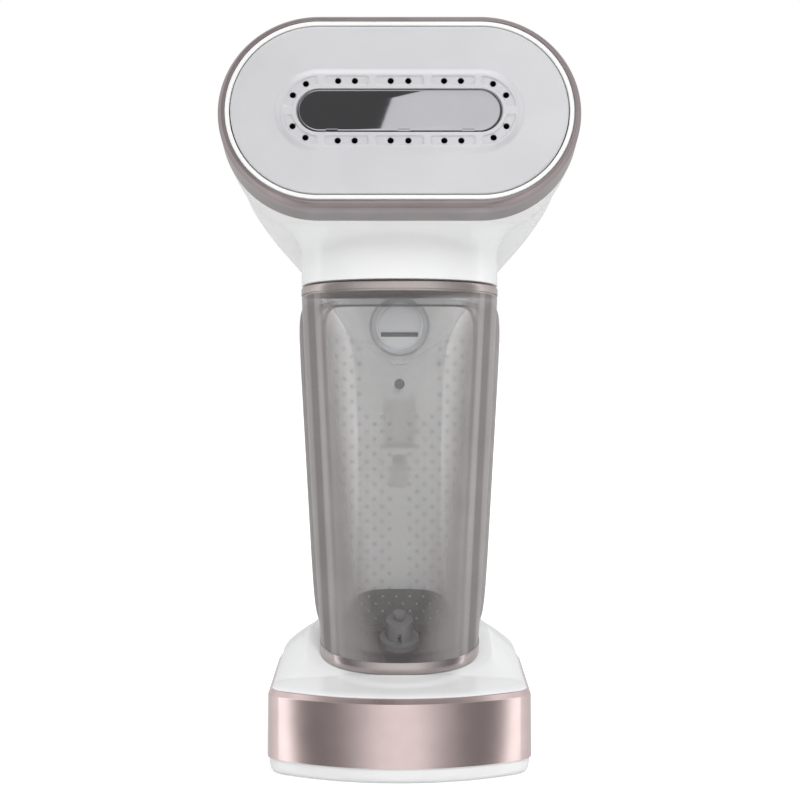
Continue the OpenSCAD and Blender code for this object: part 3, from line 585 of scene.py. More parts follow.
def boss_height(x, y, r):
    """Height of the plate's face at a distance r from the middle line."""
    raised = BOSS_H * smoothstep(BOSS_FOOT, BOSS_R - 0.3, r)
    rib = min(min(abs(abs(x) - c) - RIB_HALF for c in RIB_X), abs(y) - END_RIB_HALF)
    edge = min(POCKET_OUT - r, r - POCKET_IN)
    inside = min(edge, rib)
    if inside <= POCKET_CORNER:
        inside = POCKET_CORNER - hypot(max(POCKET_CORNER - edge, 0), max(POCKET_CORNER - rib, 0))
    return raised - POCKET_DEPTH * float(smoothstep(0.0, 0.55, inside)) * float(raised > 0.5)


def boss_ring(r):
    ring = stadium_loop(BOSS_S, r, 0, RING_ARC, RING_STRAIGHT)
    return [(x, y + BOSS_V, boss_height(x, y, r)) for x, y, _ in ring]


def plate_loop(half, r, w, sunk=1.0):
    """A plain outline in the plate, with as many points as the raised ring's."""
    return [(x, y + BOSS_V * sunk, w) for x, y, _ in stadium_loop(half, r, w, RING_ARC, RING_STRAIGHT)]


face_rings = ([plate_loop(HEAD_S, PLATE_R - d, -w, 0)
               for d, w in ((0, PLATE_T), (0, 0.55), (0.12, 0.22), (0.35, 0.06), (0.7, 0))]
              + [plate_loop(lerp(HEAD_S, BOSS_S, t), lerp(PLATE_R - 0.7, BOSS_FOOT, t), 0, t)
                 for t in (0.25, 0.5, 0.75)]
              + [boss_ring(r) for r in np.arange(BOSS_FOOT, BOSS_IN_R + 0.2, -0.19)]
              + [plate_loop(BOSS_S, BOSS_IN_R + d, BOSS_H - w)
                 for d, w in ((0.12, 0.02), (0.03, 0.12), (0, 0.35))]
              + [plate_loop(INLAY_S, INLAY_R + 0.4, w) for w in (0.2, -PLATE_T)])
plate = skin("soleplate_face", on_plate(face_rings), plate_coating, loop=True, smooth_angle=60)
hole_centres = [(sx * hx, sy * hy + BOSS_V) for sx in (-1, 1) for sy in (-1, 1) for hx, hy in STEAM_HOLES]
holes = [on_plate([[(x + r * cos(a), y + r * sin(a), w)
                    for a in np.linspace(0, 2 * pi, 28, endpoint=False)]
                   for r, w in ((HOLE_R, -PLATE_T - 1), (HOLE_R, 0.22), (1.5, 0.62), (1.5, 3))])
         for x, y in hole_centres]
cut(plate, join_parts("hole_cutter", holes, plate_coating))
sharpen(plate, 45)
# The steam holes' walls are painted near black: painted shade inside the bores
plate.data.materials.append(bore_painted_shade)
frame_to_plate = plate_to_frame.inverted()
for polygon in plate.data.polygons:
    x, y, w = frame_to_plate @ (polygon.center / MM)
    near = min(hypot(x - hx, y - hy) for hx, hy in hole_centres)
    polygon.material_index = int(near < HOLE_R + 0.05)
finish_piece(plate, "body", "soleplate")

inlay_profile = [(INLAY_R, -1.0), (INLAY_R, 0.7), (INLAY_R - 0.06, 0.82), (INLAY_R - 0.2, 0.88),
                 (INLAY_R - 0.4, 0.9), (INLAY_R * 0.6, 0.9), (INLAY_R * 0.2, 0.9)]
inlay_rings = [[(x, y + BOSS_V, w) for x, y, w in stadium_loop(INLAY_S, r, w, 48)] for r, w in inlay_profile]
inlay = skin("inlay_plate", on_plate(inlay_rings), inlay_metal, smooth_angle=30)
notch_corners = ((-2.3, -1), (2.3, -1), (2.3, 0.75), (-2.3, 0.75))
notches = [[[(x + dx, BOSS_V - INLAY_R + dy, w) for dx, dy in notch_corners] for w in (0.35, 2)]
           for x in (-26.0, 1.6, 26.4)]
cut_parts(inlay, [on_plate(rings) for rings in notches])
sharpen(inlay, 30)
finish_piece(inlay, "body", "soleplate_inlay")

# ---------------------------------------------------------------- grip and head housing
rear_rim_y = HEAD_Y + (BEZEL_DEPTH + 0.05) * cos(HEAD_TILT)
rear_rim_z = HEAD_Z - (BEZEL_DEPTH + 0.05) * sin(HEAD_TILT)
# Stations up the grip and over the head: y, z, tilt, straight half, corner half-width, half-depth
SPINE = [
    (GRIP_Y + 1.2, RIDGE_Z, 90, 4, 17.5, 18), (GRIP_Y + 0.6, 66, 90, 3, 15.8, 16.8),
    (GRIP_Y, 102, 90, 2.5, 15.5, 16), (GRIP_Y, 142, 90, 3, 15.8, 16), (GRIP_Y, 167, 90, 4.5, 17, 16.5),
    (GRIP_Y - 0.6, 182, 86, 9, 20.5, 17.2), (GRIP_Y - 2.6, 197, 77, 17, 25, 19.5),
    (GRIP_Y - 8.5, 213, 64, 24.8, 29.6, 24), (GRIP_Y - 19, 228, 48, 30.2, 32.2, 29.6),
    (8.5, 240.6, 33, 31.2, 35, 34.8), (-10, 248.6, 21, 31.5, 37.3, 37.9),
    (rear_rim_y, rear_rim_z, 15, HEAD_S, HEAD_R - 0.15, HEAD_R - 0.15),
]
SPINE_STEPS = 9
GRIP_STATIONS = 4
HALF_STEPS = 44
spine = curve_through(SPINE, SPINE_STEPS)
grip_last = GRIP_STATIONS * SPINE_STEPS


def section_point(station, angle, inset):
    """A point of the housing's cross-section at a station of the spine."""
    y, z, tilt, straight, corner, depth = station
    c, s = cos(radians(angle)), sin(radians(angle))
    x = straight * np.sign(round(c, 9)) + (corner - inset) * c
    v = (depth - inset) * s
    return (x, y + v * sin(radians(tilt)), z + v * cos(radians(tilt)))


def half_section(station, start, wall):
    """Outer and inner outline of one half of the housing."""
    angles = [start + 180 * k / HALF_STEPS for k in range(HALF_STEPS + 1)]
    outer = [section_point(station, a, 0) for a in angles]
    inner = [section_point(station, a, wall) for a in reversed(angles)]
    return outer + inner


def housing_half(name, first, last, start):
    """Half of the housing between two stations, from the angle start on."""
    rings = [half_section(s, start, SHELL_WALL) for s in spine[first:last + 1]]
    piece = skin(name, rings, white_plastic)
    add_bevel(piece, 0.28)
    return piece


# The housing's lowest line, as [y, z] pairs
under_line = sorted((y - depth * sin(radians(tilt)), z - depth * cos(radians(tilt)))
                    for y, z, tilt, _, _, depth in spine[grip_last:])


def under_z(y):
    """Height of the housing's lowest line at depth y."""
    return float(np.interp(y, [p[0] for p in under_line], [p[1] for p in under_line]))


head_top = housing_half("head_top", grip_last, len(spine) - 1, 0)
head_under = housing_half("head_under", grip_last, len(spine) - 1, 180)
grip_front = housing_half("grip_front", 0, grip_last, 180)
grip_rear = housing_half("grip_rear", 0, grip_last, 0)

BUTTON_Z = (button_low[2] + button_high[2]) / 2
BUTTON_Y = button_high[1] - 0.9
LENS_Z = (lens_low[2] + lens_high[2]) / 2
PIVOT_Y = GRIP_Y - 9
PIVOT_Z = (pin_low[2] + pin_high[2]) / 2
LOCK_Z = lock_low[2] + 6
SCREW_ZS = (74, 94)
cut_parts(head_top, [y_bar(r, GRIP_Y + 8, GRIP_Y + 28, z) for r, z in ((7, BUTTON_Z), (2.5, LENS_Z))])
cut_parts(grip_front, [
    rounded_box((-6.6, 6.6), (GRIP_Y - 22, GRIP_Y - 8), (PIVOT_Z - 36, PIVOT_Z + 5), 1.5),
    rounded_box((-3.2, 3.2), (GRIP_Y - 22, GRIP_Y - 8), (LOCK_Z - 5, LOCK_Z + 9), 1.0),
    x_bar(1.5, 22, PIVOT_Y, PIVOT_Z)])
cut_parts(grip_rear, [y_bar(2.8, GRIP_Y + 12, GRIP_Y + 20, z) for z in SCREW_ZS])
for piece, node in ((head_top, "head_top_shell"), (head_under, "head_under_shell"),
                    (grip_front, "grip_front_shell"), (grip_rear, "grip_rear_shell")):
    bake(piece)
    sharpen(piece, 38)
    finish_piece(piece, "body", node)

# ---------------------------------------------------------------- neck


def top_plane(y):
    return TANK_TOP_Z - (min(y, TANK_Y) - TANK_FRONT) * TOP_SLOPE


def foot_plane(y):
    return TANK_FOOT_Z + (y - TANK_FRONT) * FOOT_SLOPE


def tank_half(t):
    return lerp(TANK_FOOT_W, TANK_TOP_W, t) / 2 + 0.5 * sin(pi * t)


PLAN_STEPS = 90
REAR_POWER = 5


def plan(t, inset, front_only=False):
    """The column's outline at relative height t, as [x, y] pairs from the left round by the front."""
    half = tank_half(t) - inset
    bulge = TANK_BULGE - inset
    back = TANK_BACK - TANK_Y - inset

    def arc(angles, depth, power):
        return [(half * power_curve(cos(a), power), TANK_Y + depth * power_curve(sin(a), power))
                for a in angles]

    front = arc(np.linspace(pi, 2 * pi, PLAN_STEPS), bulge, PLAN_POWER)
    if front_only:
        return front
    return front + arc(np.linspace(0, pi, PLAN_STEPS // 2)[1:-1], back, REAR_POWER)


bpy.context.view_layer.update()
housing_tree = BVHTree.FromObject(head_under, bpy.context.evaluated_depsgraph_get())


def underside(x, y):
    """Height of the housing's outer underside over a point, by a ray from below."""
    hit = housing_tree.ray_cast(Vector((x, y, 150)) * MM, Vector((0, 0, 1)))[0]
    return under_z(y) if hit is None else hit[2] / MM


NECK_FILLET = 9.0
# The fillet stays behind the bezel's lower back edge, which is about this far in front of the origin
RIM_BACK = 38.3


def outward(ring_2d):
    """Unit vectors that point out of a closed outline."""
    p = np.array(ring_2d)
    tangent = np.roll(p, -1, 0) - np.roll(p, 1, 0)
    normal = np.stack([tangent[:, 1], -tangent[:, 0]], 1)
    return normal / np.maximum(np.linalg.norm(normal, axis=1, keepdims=True), 1e-9)


outline = plan(1, 0)
out_dir = outward(outline)
neck_rings = []
for chamfer, rise in ((0.5, 0.0), (0.12, 0.12), (0, 0.5)):
    neck_rings.append([(x, y, top_plane(y) + NECK_GAP + rise) for x, y in plan(1, chamfer)])
# The neck's fillet shrinks towards the back, and where the bezel's edge or the room above it is near
spread_to = []
for (x, y), (dx, dy) in zip(outline, out_dir):
    reach = NECK_FILLET if dy < 0.3 else NECK_FILLET * max(0.15, 1 - (dy - 0.3) * 1.4)
    if dy < -0.05:
        reach = min(reach, max(1.5, (y + RIM_BACK) / -dy))
    reach = min(reach, max(1.2, 0.42 * (underside(x, y) - top_plane(y))))
    spread_to.append(reach)
for t in np.linspace(0, 1, 16):
    angle = t * pi / 2
    ring = []
    for (x, y), (dx, dy), r in zip(outline, out_dir, spread_to):
        d = r * (1 - cos(angle))
        top = underside(x + dx * d, y + dy * d)
        ring.append((x + dx * d, y + dy * d, top - r * (1 - sin(angle)) + 0.15 * t))
    neck_rings.append(ring)
inner = plan(1, SHELL_WALL)
neck_rings.append([(x, y, underside(x, y) + 0.1) for x, y in inner])
neck_rings.append([(x, y, top_plane(y) + NECK_GAP + SHELL_WALL) for x, y in inner])
neck = skin("neck", neck_rings, white_plastic)
LATCH_Z = latch_high[2] - 8
cut_parts(neck, [
    rounded_box((-8.4, 8.4), (TANK_BACK - 3.2, TANK_BACK + 7), (LATCH_Z - 1.4, LATCH_Z + 12.6), 0.6),
    rounded_box((-5.4, 5.4), (TANK_BACK - 8.4, TANK_BACK - 2), (LATCH_Z - 10, LATCH_Z + 2), 0.6)])
sharpen(neck, 38)
finish_piece(neck, "body", "neck_shell")

# ---------------------------------------------------------------- tank
FACE_POINTS = 120


def bulge_share(y, inset):
    if y >= TANK_Y:
        return 1.0
    return max(0.0, 1 - ((TANK_Y - y) / (TANK_BULGE - inset)) ** PLAN_POWER) ** (1 / PLAN_POWER)


def face_ring(y, grow, rise):
    """A rounded outline across the tank at depth y, grown outwards or set in."""
    ring = []
    for k in range(FACE_POINTS):
        a = 2 * pi * (k + 0.5) / FACE_POINTS - pi / 2
        p = power_curve(cos(a), 13)
        t = (power_curve(sin(a), 13) + 1) / 2
        low = foot_plane(y) + FOOT_TRIM_H + rise
        high = top_plane(y) - TRIM_H - rise
        ring.append((p * (tank_half(t) + grow) * bulge_share(y, max(-grow, 0)), y, lerp(low, high, t)))
    return ring


def front_ring(t):
    """The front shell's outline at relative height t, closed across the split."""
    half = tank_half(t)
    line = [(-half, TANK_SPLIT)] + plan(t, 0, True) + [(half, TANK_SPLIT)]
    return [(x, y, lerp(foot_plane(y) + FOOT_TRIM_H, top_plane(y) - TRIM_H, t)) for x, y in line]


front_shell = skin("tank_front", [front_ring(t) for t in np.linspace(0, 1, 41)], smoked)
cavity_depths = [TANK_SPLIT + 1] + [TANK_Y - d for d in np.linspace(0, 17.1, 24)]
cut(front_shell, skin("cavity", [face_ring(y, -TANK_WALL, TANK_WALL) for y in cavity_depths], smoked))
DOCK_Y = -17.0
dock = Matrix.Translation((0, DOCK_Y, foot_plane(DOCK_Y))) @ Matrix.Rotation(atan(FOOT_SLOPE), 4, "X")


def dock_bore(r, low, high):
    """A round bore square to the tank's sloping foot."""
    rings = turned((0, 0, 0), (0, 0, 1), ((r, low), (r, high)), 48)
    return [[dock @ Vector(p) for p in ring] for ring in rings]


cut_parts(front_shell, [dock_bore(8.1, 0, 14)])
add_bevel(front_shell, 0.3)
bake(front_shell)
sharpen(front_shell, 40)
finish_piece(front_shell, "tank", "tank_front_shell")

# The rear shell from its face round the rim to its inside: distance before the face, growth and rise
REAR_PROFILE = ((0, -6, 5.5), (0, -5, 4.5), (0.1, -4, 3.5), (0.6, -2.6, 2.2), (1.2, -1.5, 1.4),
                (2, -0.6, 0.8), (2.8, 0.6, 0.45), (3.5, 1.6, 0.2), (4.6, 2, 0), (7.95, 2, 0),
                (7.95, -TANK_WALL, TANK_WALL), (4.4, -3.6, 3.4), (3.2, -4.6, 4.4), (TANK_WALL, -6.6, 6.2),
                (TANK_WALL, -7.6, 7.2))
rear_shell = skin("tank_rear", [face_ring(TANK_BACK - d, grow, rise) for d, grow, rise in REAR_PROFILE],
                  smoked_rear)
STOPPER_Z = stopper_high[2] - 12.2
ANCHOR_Z = 151.0
cut_parts(rear_shell, [y_bar(9.6, TANK_SPLIT, TANK_BACK + 2, STOPPER_Z, 48),
                       y_bar(1.2, TANK_SPLIT, TANK_BACK + 2, ANCHOR_Z, 20)])
sharpen(rear_shell, 40)
INNER_BACK = TANK_BACK - TANK_WALL


def inner_rib(inset, wall, y0, y1):
    """An upright rib that follows the tank's outline."""
    corners = ((y0, 0, 2.3), (y0, wall, 3.1), (y1, wall, 3.1), (y1, 0, 2.3))
    return [face_ring(y, -inset - d, rise) for y, d, rise in corners]


add_parts(rear_shell, [inner_rib(7.4, 1.2, TANK_SPLIT - 4, INNER_BACK + 0.3),
                       inner_rib(2.5, 2.4, TANK_SPLIT - 2, INNER_BACK - 0.6)], smoked_rib, loop=True)

# A collar round the filler mouth, open upwards
COLLAR_TOP = asin(0.64)
collar = [[(r * cos(a), INNER_BACK + y, STOPPER_Z + r * sin(a))
           for r, y in ((12.5, 0.3), (11.5, 0.3), (11.5, -1.2), (12.0, -1.5), (12.5, -1.2))]
          for a in np.linspace(-pi - COLLAR_TOP, COLLAR_TOP, 64)]
add_parts(rear_shell, [collar], smoked_stud)


def studs(places, y, profile):
    """Small round studs that stand forwards on a wall at y."""
    return [turned((x, y, z), (0, -1, 0), profile, 10) for x, z in places]


# Rows of faint studs on the wall's inside, clear of the stopper and its anchor
STUD_STEP = 3.1
stud_places = []
for step in range(38):
    z = 60 + STUD_STEP * step
    reach = tank_half((z - TANK_FOOT_Z) / (TANK_TOP_Z - TANK_FOOT_Z)) - 10.5
    for side in (-1, 1):
        for column in range(5):
            x = 4.1 + 2 * STUD_STEP * column + STUD_STEP * (step % 2)
            if x < reach and z < STOPPER_Z - 4 and not (x < 15 and z > ANCHOR_Z - 12):
                stud_places.append((side * x, z))
add_parts(rear_shell, studs(stud_places, INNER_BACK + 0.1, ((0.95, 0), (0.8, 0.3), (0.4, 0.5), (0.01, 0.52))),
          smoked_stud)

# A dark arched sheet on the tank's floor in front of the rear wall, a painted shadow low in the tank, with
# rows of pale pins
SHADOW_SCREEN_Y = TANK_SPLIT - 0.5
SHADOW_SCREEN_HALF = 20.5
SHADOW_ARCH_Z = 58
PIN_STEP = 2.8
shadow_screen_foot = foot_plane(SHADOW_SCREEN_Y) + FOOT_TRIM_H + TANK_WALL - 0.4
shadow_screen_line = [(-SHADOW_SCREEN_HALF, shadow_screen_foot), (SHADOW_SCREEN_HALF, shadow_screen_foot)]
shadow_screen_line += [(SHADOW_SCREEN_HALF * power_curve(cos(a), 3.4), SHADOW_ARCH_Z + 9 * power_curve(sin(a), 2.4))
                for a in np.linspace(0, pi, 41)]
shadow_screen = [[(x * (1 - d), SHADOW_SCREEN_Y + y, lerp(z, SHADOW_ARCH_Z + 2, d)) for x, z in shadow_screen_line]
          for y, d in ((-0.6, 0.012), (-0.4, 0), (0.4, 0), (0.6, 0.012))]
add_parts(rear_shell, [shadow_screen], painted_shadow_screen)
pin_places = [(2 * PIN_STEP * (column - 3) + PIN_STEP * (step % 2 - 0.5), 64 - 3.0 * step)
              for step in range(4) for column in range(7)]
add_parts(rear_shell, studs(pin_places, SHADOW_SCREEN_Y - 0.5, ((0.6, 0), (0.55, 0.4), (0.3, 0.7), (0.01, 0.72))),
          pale_pin)

# The rear shell's rim is as dark as the front shell, from this distance beside the middle, less the taper
RIM_START = 27.5
rear_shell.data.materials.append(smoked)
for polygon in rear_shell.data.polygons:
    x, y, z = polygon.center / MM
    if polygon.material_index == 0 and y < TANK_BACK - 0.3 and abs(x) - WALL_TAPER * z > RIM_START:
        polygon.material_index = len(rear_shell.data.materials) - 1
finish_piece(rear_shell, "tank", "tank_rear_shell")


def plan_skin(name, plane, levels, material):
    """A solid on the column's plan: levels are [relative height, inset, distance above the plane]."""
    return skin(name, [[(x, y, plane(y) + d) for x, y in plan(t, inset)] for t, inset, d in levels], material)


top_trim = plan_skin("tank_top_ring", top_plane, (
    (1, 0.55, 0.05 - TRIM_H), (1, 0.4, 0.7 - TRIM_H), (1, -0.05, 0.8 - TRIM_H), (1, -0.15, 1.0 - TRIM_H),
    (1, -0.15, -0.5), (1, 0.05, -0.12), (1, 0.5, 0)), trim_metal)
cut_parts(top_trim, [
    rounded_box((-7, 7), (TANK_BACK - 9.5, TANK_BACK - 1), (top_plane(TANK_BACK) - 2, TANK_TOP_Z + 2), 0.6)])
sharpen(top_trim, 40)
finish_piece(top_trim, "tank", "tank_top_trim")

foot_trim = plan_skin("tank_foot_ring", foot_plane, (
    (0, 0.5, 0), (0, 0.02, 0.12), (0, -0.15, 0.5), (0.018, -0.15, FOOT_TRIM_H - 0.55),
    (0.019, 0.1, FOOT_TRIM_H - 0.3), (0.02, 0.1, FOOT_TRIM_H - 0.05)), foot_metal)
cut_parts(foot_trim, [dock_bore(8.2, -10, 10)])
sharpen(foot_trim, 40)
finish_piece(foot_trim, "tank", "tank_foot_trim")

# ---------------------------------------------------------------- base
BASE_STEPS = 24
arc_cy = BASE_ARC_R - BASE_FRONT
corner_x = BASE_W / 2 - BASE_CORNER_R
corner_y = arc_cy - sqrt((BASE_ARC_R - BASE_CORNER_R) ** 2 - corner_x ** 2)
corner_a = atan2(corner_y - arc_cy, corner_x)


def base_half(d):
    """Right half of the base's outline, front to back, set in by d."""
    front = [((BASE_ARC_R - d) * cos(a), arc_cy + (BASE_ARC_R - d) * sin(a))
             for a in np.linspace(-pi / 2, corner_a, BASE_STEPS)[:-1]]
    corner = [(corner_x + (BASE_CORNER_R - d) * cos(a), corner_y + (BASE_CORNER_R - d) * sin(a))
              for a in np.linspace(corner_a, 0, BASE_STEPS)]
    side = [(BASE_W / 2 - d, lerp(corner_y, BASE_SIDE_BACK, k / BASE_STEPS)) for k in range(1, BASE_STEPS)]
    back = [((BASE_W / 2 - d) * cos(a), BASE_SIDE_BACK + (BASE_BACK - BASE_SIDE_BACK - d) * sin(a))
            for a in np.linspace(0, pi / 2, 2 * BASE_STEPS)]
    return front + corner + side + back


def mirrored(half):
    return half + [(-x, y) for x, y in reversed(half[1:-1])]


def base_ring(d, z):
    return [(x, y, z) for x, y in mirrored(base_half(d))]


# The band's chamfered top edge: inset, and height above the band's top
BAND_EDGE = ((0, -2.5), (0.05, -2.2), (0.14, -2.05), (0.22, -1.93), (1.28, -0.27), (1.36, -0.14),
             (1.48, -0.04), (1.7, 0), (3, -0.6))
band_profile = ([(-0.05, BAND_Z0), (-0.25, BAND_Z0 + 0.06), (-BAND_DRAFT, BAND_Z0 + 0.3)]
                + [(d, BAND_Z1 + z) for d, z in BAND_EDGE] + [(3, BAND_Z0)])
band = skin("base_band_ring", [base_ring(d, z) for d, z in band_profile], band_metal, loop=True)
GLAND_Z = (gland_low[2] + gland_high[2]) / 2
cut_parts(band, [y_bar(6.6, 50, 70, GLAND_Z, 40)])
sharpen(band, 40)
finish_piece(band, "body", "base_band")

RIDGE_FRONT = 21.5
RIDGE_BACK = BASE_BACK - 1.5 - TANK_Y
RIDGE_HALF = 37.5


def ridge_height(y):
    return min(foot_plane(max(y, TANK_FRONT)) - DOCK_GAP, RIDGE_Z)


def ridge_half():
    """Right half of the ridge that the roof rises to, point for point with the base's outline."""
    out = []
    for x, y in base_half(0):
        a = atan2(y + 20, x * 1.3)
        depth = RIDGE_FRONT if a < 0 else RIDGE_BACK
        out.append((RIDGE_HALF * power_curve(cos(a), 3.2), TANK_Y + depth * sin(a)))
    return out


def collar_rise(x, y):
    """A low soft collar on the roof in front of the tank's foot."""
    if y >= TANK_Y:
        return 0.0
    reach = hypot(x / 30, (y - TANK_Y) / 38)
    clear = hypot(x / (TANK_FOOT_W / 2), (y - TANK_Y) / (TANK_BULGE + 0.6))
    return 0.75 * float((1 - smoothstep(0.86, 1.04, reach)) * smoothstep(1.0, 1.08, clear))


# The roof's rise from the band's edge, 0, to the ridge, 1
ROOF = ((0, -0.04), (0.005, 0.02), (0.025, 0.10), (0.065, 0.21), (0.14, 0.335), (0.24, 0.435), (0.39, 0.565),
        (0.58, 0.71), (0.75, 0.825), (0.9, 0.945), (0.97, 0.99), (1, 1))
rim_line, ridge_line = mirrored(base_half(1.6)), mirrored(ridge_half())
roof_rings = []
for t, rise in curve_through(ROOF, 4):
    ring = [(lerp(x0, x1, t), lerp(y0, y1, t)) for (x0, y0), (x1, y1) in zip(rim_line, ridge_line)]
    roof_rings.append([(x, y, lerp(BAND_Z1, ridge_height(y), rise) + collar_rise(x, y)) for x, y in ring])
for t in (0.94, 0.85, 0.6, 0.3, 0.05):
    ring = [(x * t, lerp(TANK_Y + 10, y, t)) for x, y in ridge_line]
    roof_rings.append([(x, y, ridge_height(y)) for x, y in ring])
cover = skin("base_roof", roof_rings, white_plastic)
finish_piece(cover, "body", "base_cover")

plate_profile = ((3.2, 0.1), (2.2, 0.3), (1.6, 0.9), (1.15, 1.4), (0.9, 2.0), (0.65, 3.6),
                 (0.5, BAND_Z0 - 0.05), (3.4, BAND_Z0 - 0.05))
bottom = skin("base_bottom", [base_ring(d, z) for d, z in plate_profile], white_plastic)
finish_piece(bottom, "body", "base_plate")

# ---------------------------------------------------------------- small parts
BEND_Z = 159.5
STRAP_HALF = 7.8
strap_x = (-STRAP_HALF, STRAP_HALF)
strap_y = (TANK_BACK + 0.3, TANK_BACK + 1.5)
# The stopper and its strap are in the grey with the painted glow
stopper = united("stopper", [
    y_turned(((0, 0.3), (11.5, 0.3), (12.0, 0.5), (12.2, 0.9), (12.2, 1.5), (11.9, 1.95), (11.3, 2.1),
              (10.8, 2.0), (10.4, 1.7), (0, 1.6)), STOPPER_Z, 64, TANK_BACK),
    y_turned(((0, -4), (8.1, -4), (8.8, -3.5), (9.0, -3.0), (8.6, -2.5), (9.0, -2.0), (8.6, -1.5),
              (9.0, -0.9), (9.0, 0.5)), STOPPER_Z, 64, TANK_BACK),
    rounded_box(strap_x, strap_y, (BEND_Z + 0.6, STOPPER_Z - 8), 0.5),
    rounded_box(strap_x, strap_y, (BEND_Z, BEND_Z + 1), 0.4),
    x_bar(0.6, STRAP_HALF, TANK_BACK + 0.9, BEND_Z),
    rounded_box((-8.2, 8.2), (TANK_BACK + 1, TANK_BACK + 4.6), (STOPPER_Z - 6, STOPPER_Z - 3.6), 1.1)],
    painted_glow_grey)
bar_y, bar_z = (TANK_BACK - 4.5, TANK_BACK - 3.9), (STOPPER_Z - 4.4, STOPPER_Z - 2.6)
add_parts(stopper, [rounded_box((-7.6, 7.6), bar_y, bar_z, 0.25)], shade_grey)
finish_piece(stopper, "stopper", "filler_stopper")

strap = united("strap", [
    rounded_box(strap_x, (TANK_BACK + 0.1, TANK_BACK + 1.3), (ANCHOR_Z - 6, BEND_Z - 1), 0.5),
    y_turned(((1.4, -4.2), (2, -3.6), (2, -3.1), (1.15, -3), (1.15, 0.3)), ANCHOR_Z, y=TANK_BACK)], painted_glow_grey)
add_parts(strap, [y_turned(((1.2, -4.5), (1.9, -4.3), (2.1, -3.6), (1.3, -3.5)), ANCHOR_Z, y=TANK_BACK)],
          shade_grey)
finish_piece(strap, "tank", "stopper_strap")


def cut_grooves(piece, half, y, z, steps, width):
    """Cuts finger grooves of one width across a piece, each a step above z."""
    cut_parts(piece, [rounded_box((-half, half), y, (z + step, z + step + width), 0.2) for step in steps])
    sharpen(piece, 35)


TOOTH_Y = TANK_BACK - 7
latch = united("latch", [
    rounded_box((-8, 8), (TANK_BACK - 2.2, TANK_BACK + 2.4), (LATCH_Z - 0.8, LATCH_Z + 8), 1.3, 0.6),
    rounded_box((-5, 5), (TOOTH_Y, TANK_BACK - 1.5), (latch_low[2], LATCH_Z + 3), 0.6)], white_plastic)
cut_grooves(latch, 6, (TANK_BACK + 1.9, TANK_BACK + 4), LATCH_Z, (1.6, 3.2, 4.8), 0.8)
finish_piece(latch, "latch", "tank_latch")

# The trigger bends at its knee: rods are [radius, y, z]
knee = (3, PIVOT_Y - 9, PIVOT_Z - 16)
trigger = rod_hull("trigger", [(4, PIVOT_Y, PIVOT_Z), (3, PIVOT_Y - 8, PIVOT_Z - 8), knee], 6, trim_metal)
cut(trigger, rod_hull("tool", [knee, (3, PIVOT_Y - 8.4, PIVOT_Z - 24), (2.5, PIVOT_Y - 10, PIVOT_Z - 31),
                               (2.5, PIVOT_Y - 3, PIVOT_Z - 29)], 6, trim_metal), "UNION")
cut_parts(trigger, [x_bar(1.55, 10, PIVOT_Y, PIVOT_Z, 28)])
sharpen(trigger, 32)
finish_piece(trigger, "trigger", "steam_trigger")

lock = united("lock", [
    rounded_box((-2.8, 2.8), (GRIP_Y - 17.6, GRIP_Y - 12), (LOCK_Z - 4.5, LOCK_Z + 3.5), 0.8, 0.5),
    rounded_box((-4.6, 4.6), (GRIP_Y - 12.7, GRIP_Y - 11.1), (LOCK_Z - 6, LOCK_Z + 5), 0.3)], trim_metal)
cut_grooves(lock, 2.2, (GRIP_Y - 19, GRIP_Y - 17.2), LOCK_Z, (-3.0, -1.2, 0.6), 0.7)
finish_piece(lock, "lock", "trigger_lock")

button = united("button", [y_turned(
    ((0, -6.8), (7.8, -6.8), (8, -6.6), (8, -5.0), (7.8, -4.8), (6.6, -4.7), (6.6, 0.3), (6.4, 0.7),
     (5.9, 0.9), (5.3, 0.75), (3.2, 0.5), (0, 0.4)), BUTTON_Z, 48, BUTTON_Y)], plate_coating)
finish_piece(button, "button", "power_button")
lens = united("lens", [y_turned(
    ((0, -6.2), (3.4, -6.2), (3.4, -5.0), (2.3, -4.9), (2.3, -0.9), (2.1, -0.45), (1.4, -0.2), (0, -0.1)),
    LENS_Z, 36, BUTTON_Y)], lens_clear)
finish_piece(lens, "body", "indicator_lens")

gland_back = gland_high[1] - BASE_BACK
gland = skin("gland", y_turned((
    (3.6, 50 - BASE_BACK), (6.5, 50 - BASE_BACK), (6.5, -6.5), (8.6, -6.5), (8.6, -4.2), (6.5, -4.2),
    (6.5, 0.1), (8.4, 0.1), (8.6, 0.4), (8.3, gland_back - 0.2), (7.8, gland_back), (4.1, gland_back),
    (3.6, gland_back - 0.5)), GLAND_Z, 48, BASE_BACK), white_plastic, loop=True, smooth_angle=40)
finish_piece(gland, "body", "cord_gland")

foot_profile = ((3.2, 0.3), (3.5, 0), (5.5, 0), (5.85, 0.15), (6, 0.5), (6, 2), (3.2, 2))
feet = join_parts("feet", [turned((x, y, 0), (0, 0, 1), foot_profile, 40)
                           for x, y in ((34, -44), (-34, -44), (30, 34), (-30, 34))], black_rubber, loop=True)
finish_piece(feet, "body", "rubber_feet")

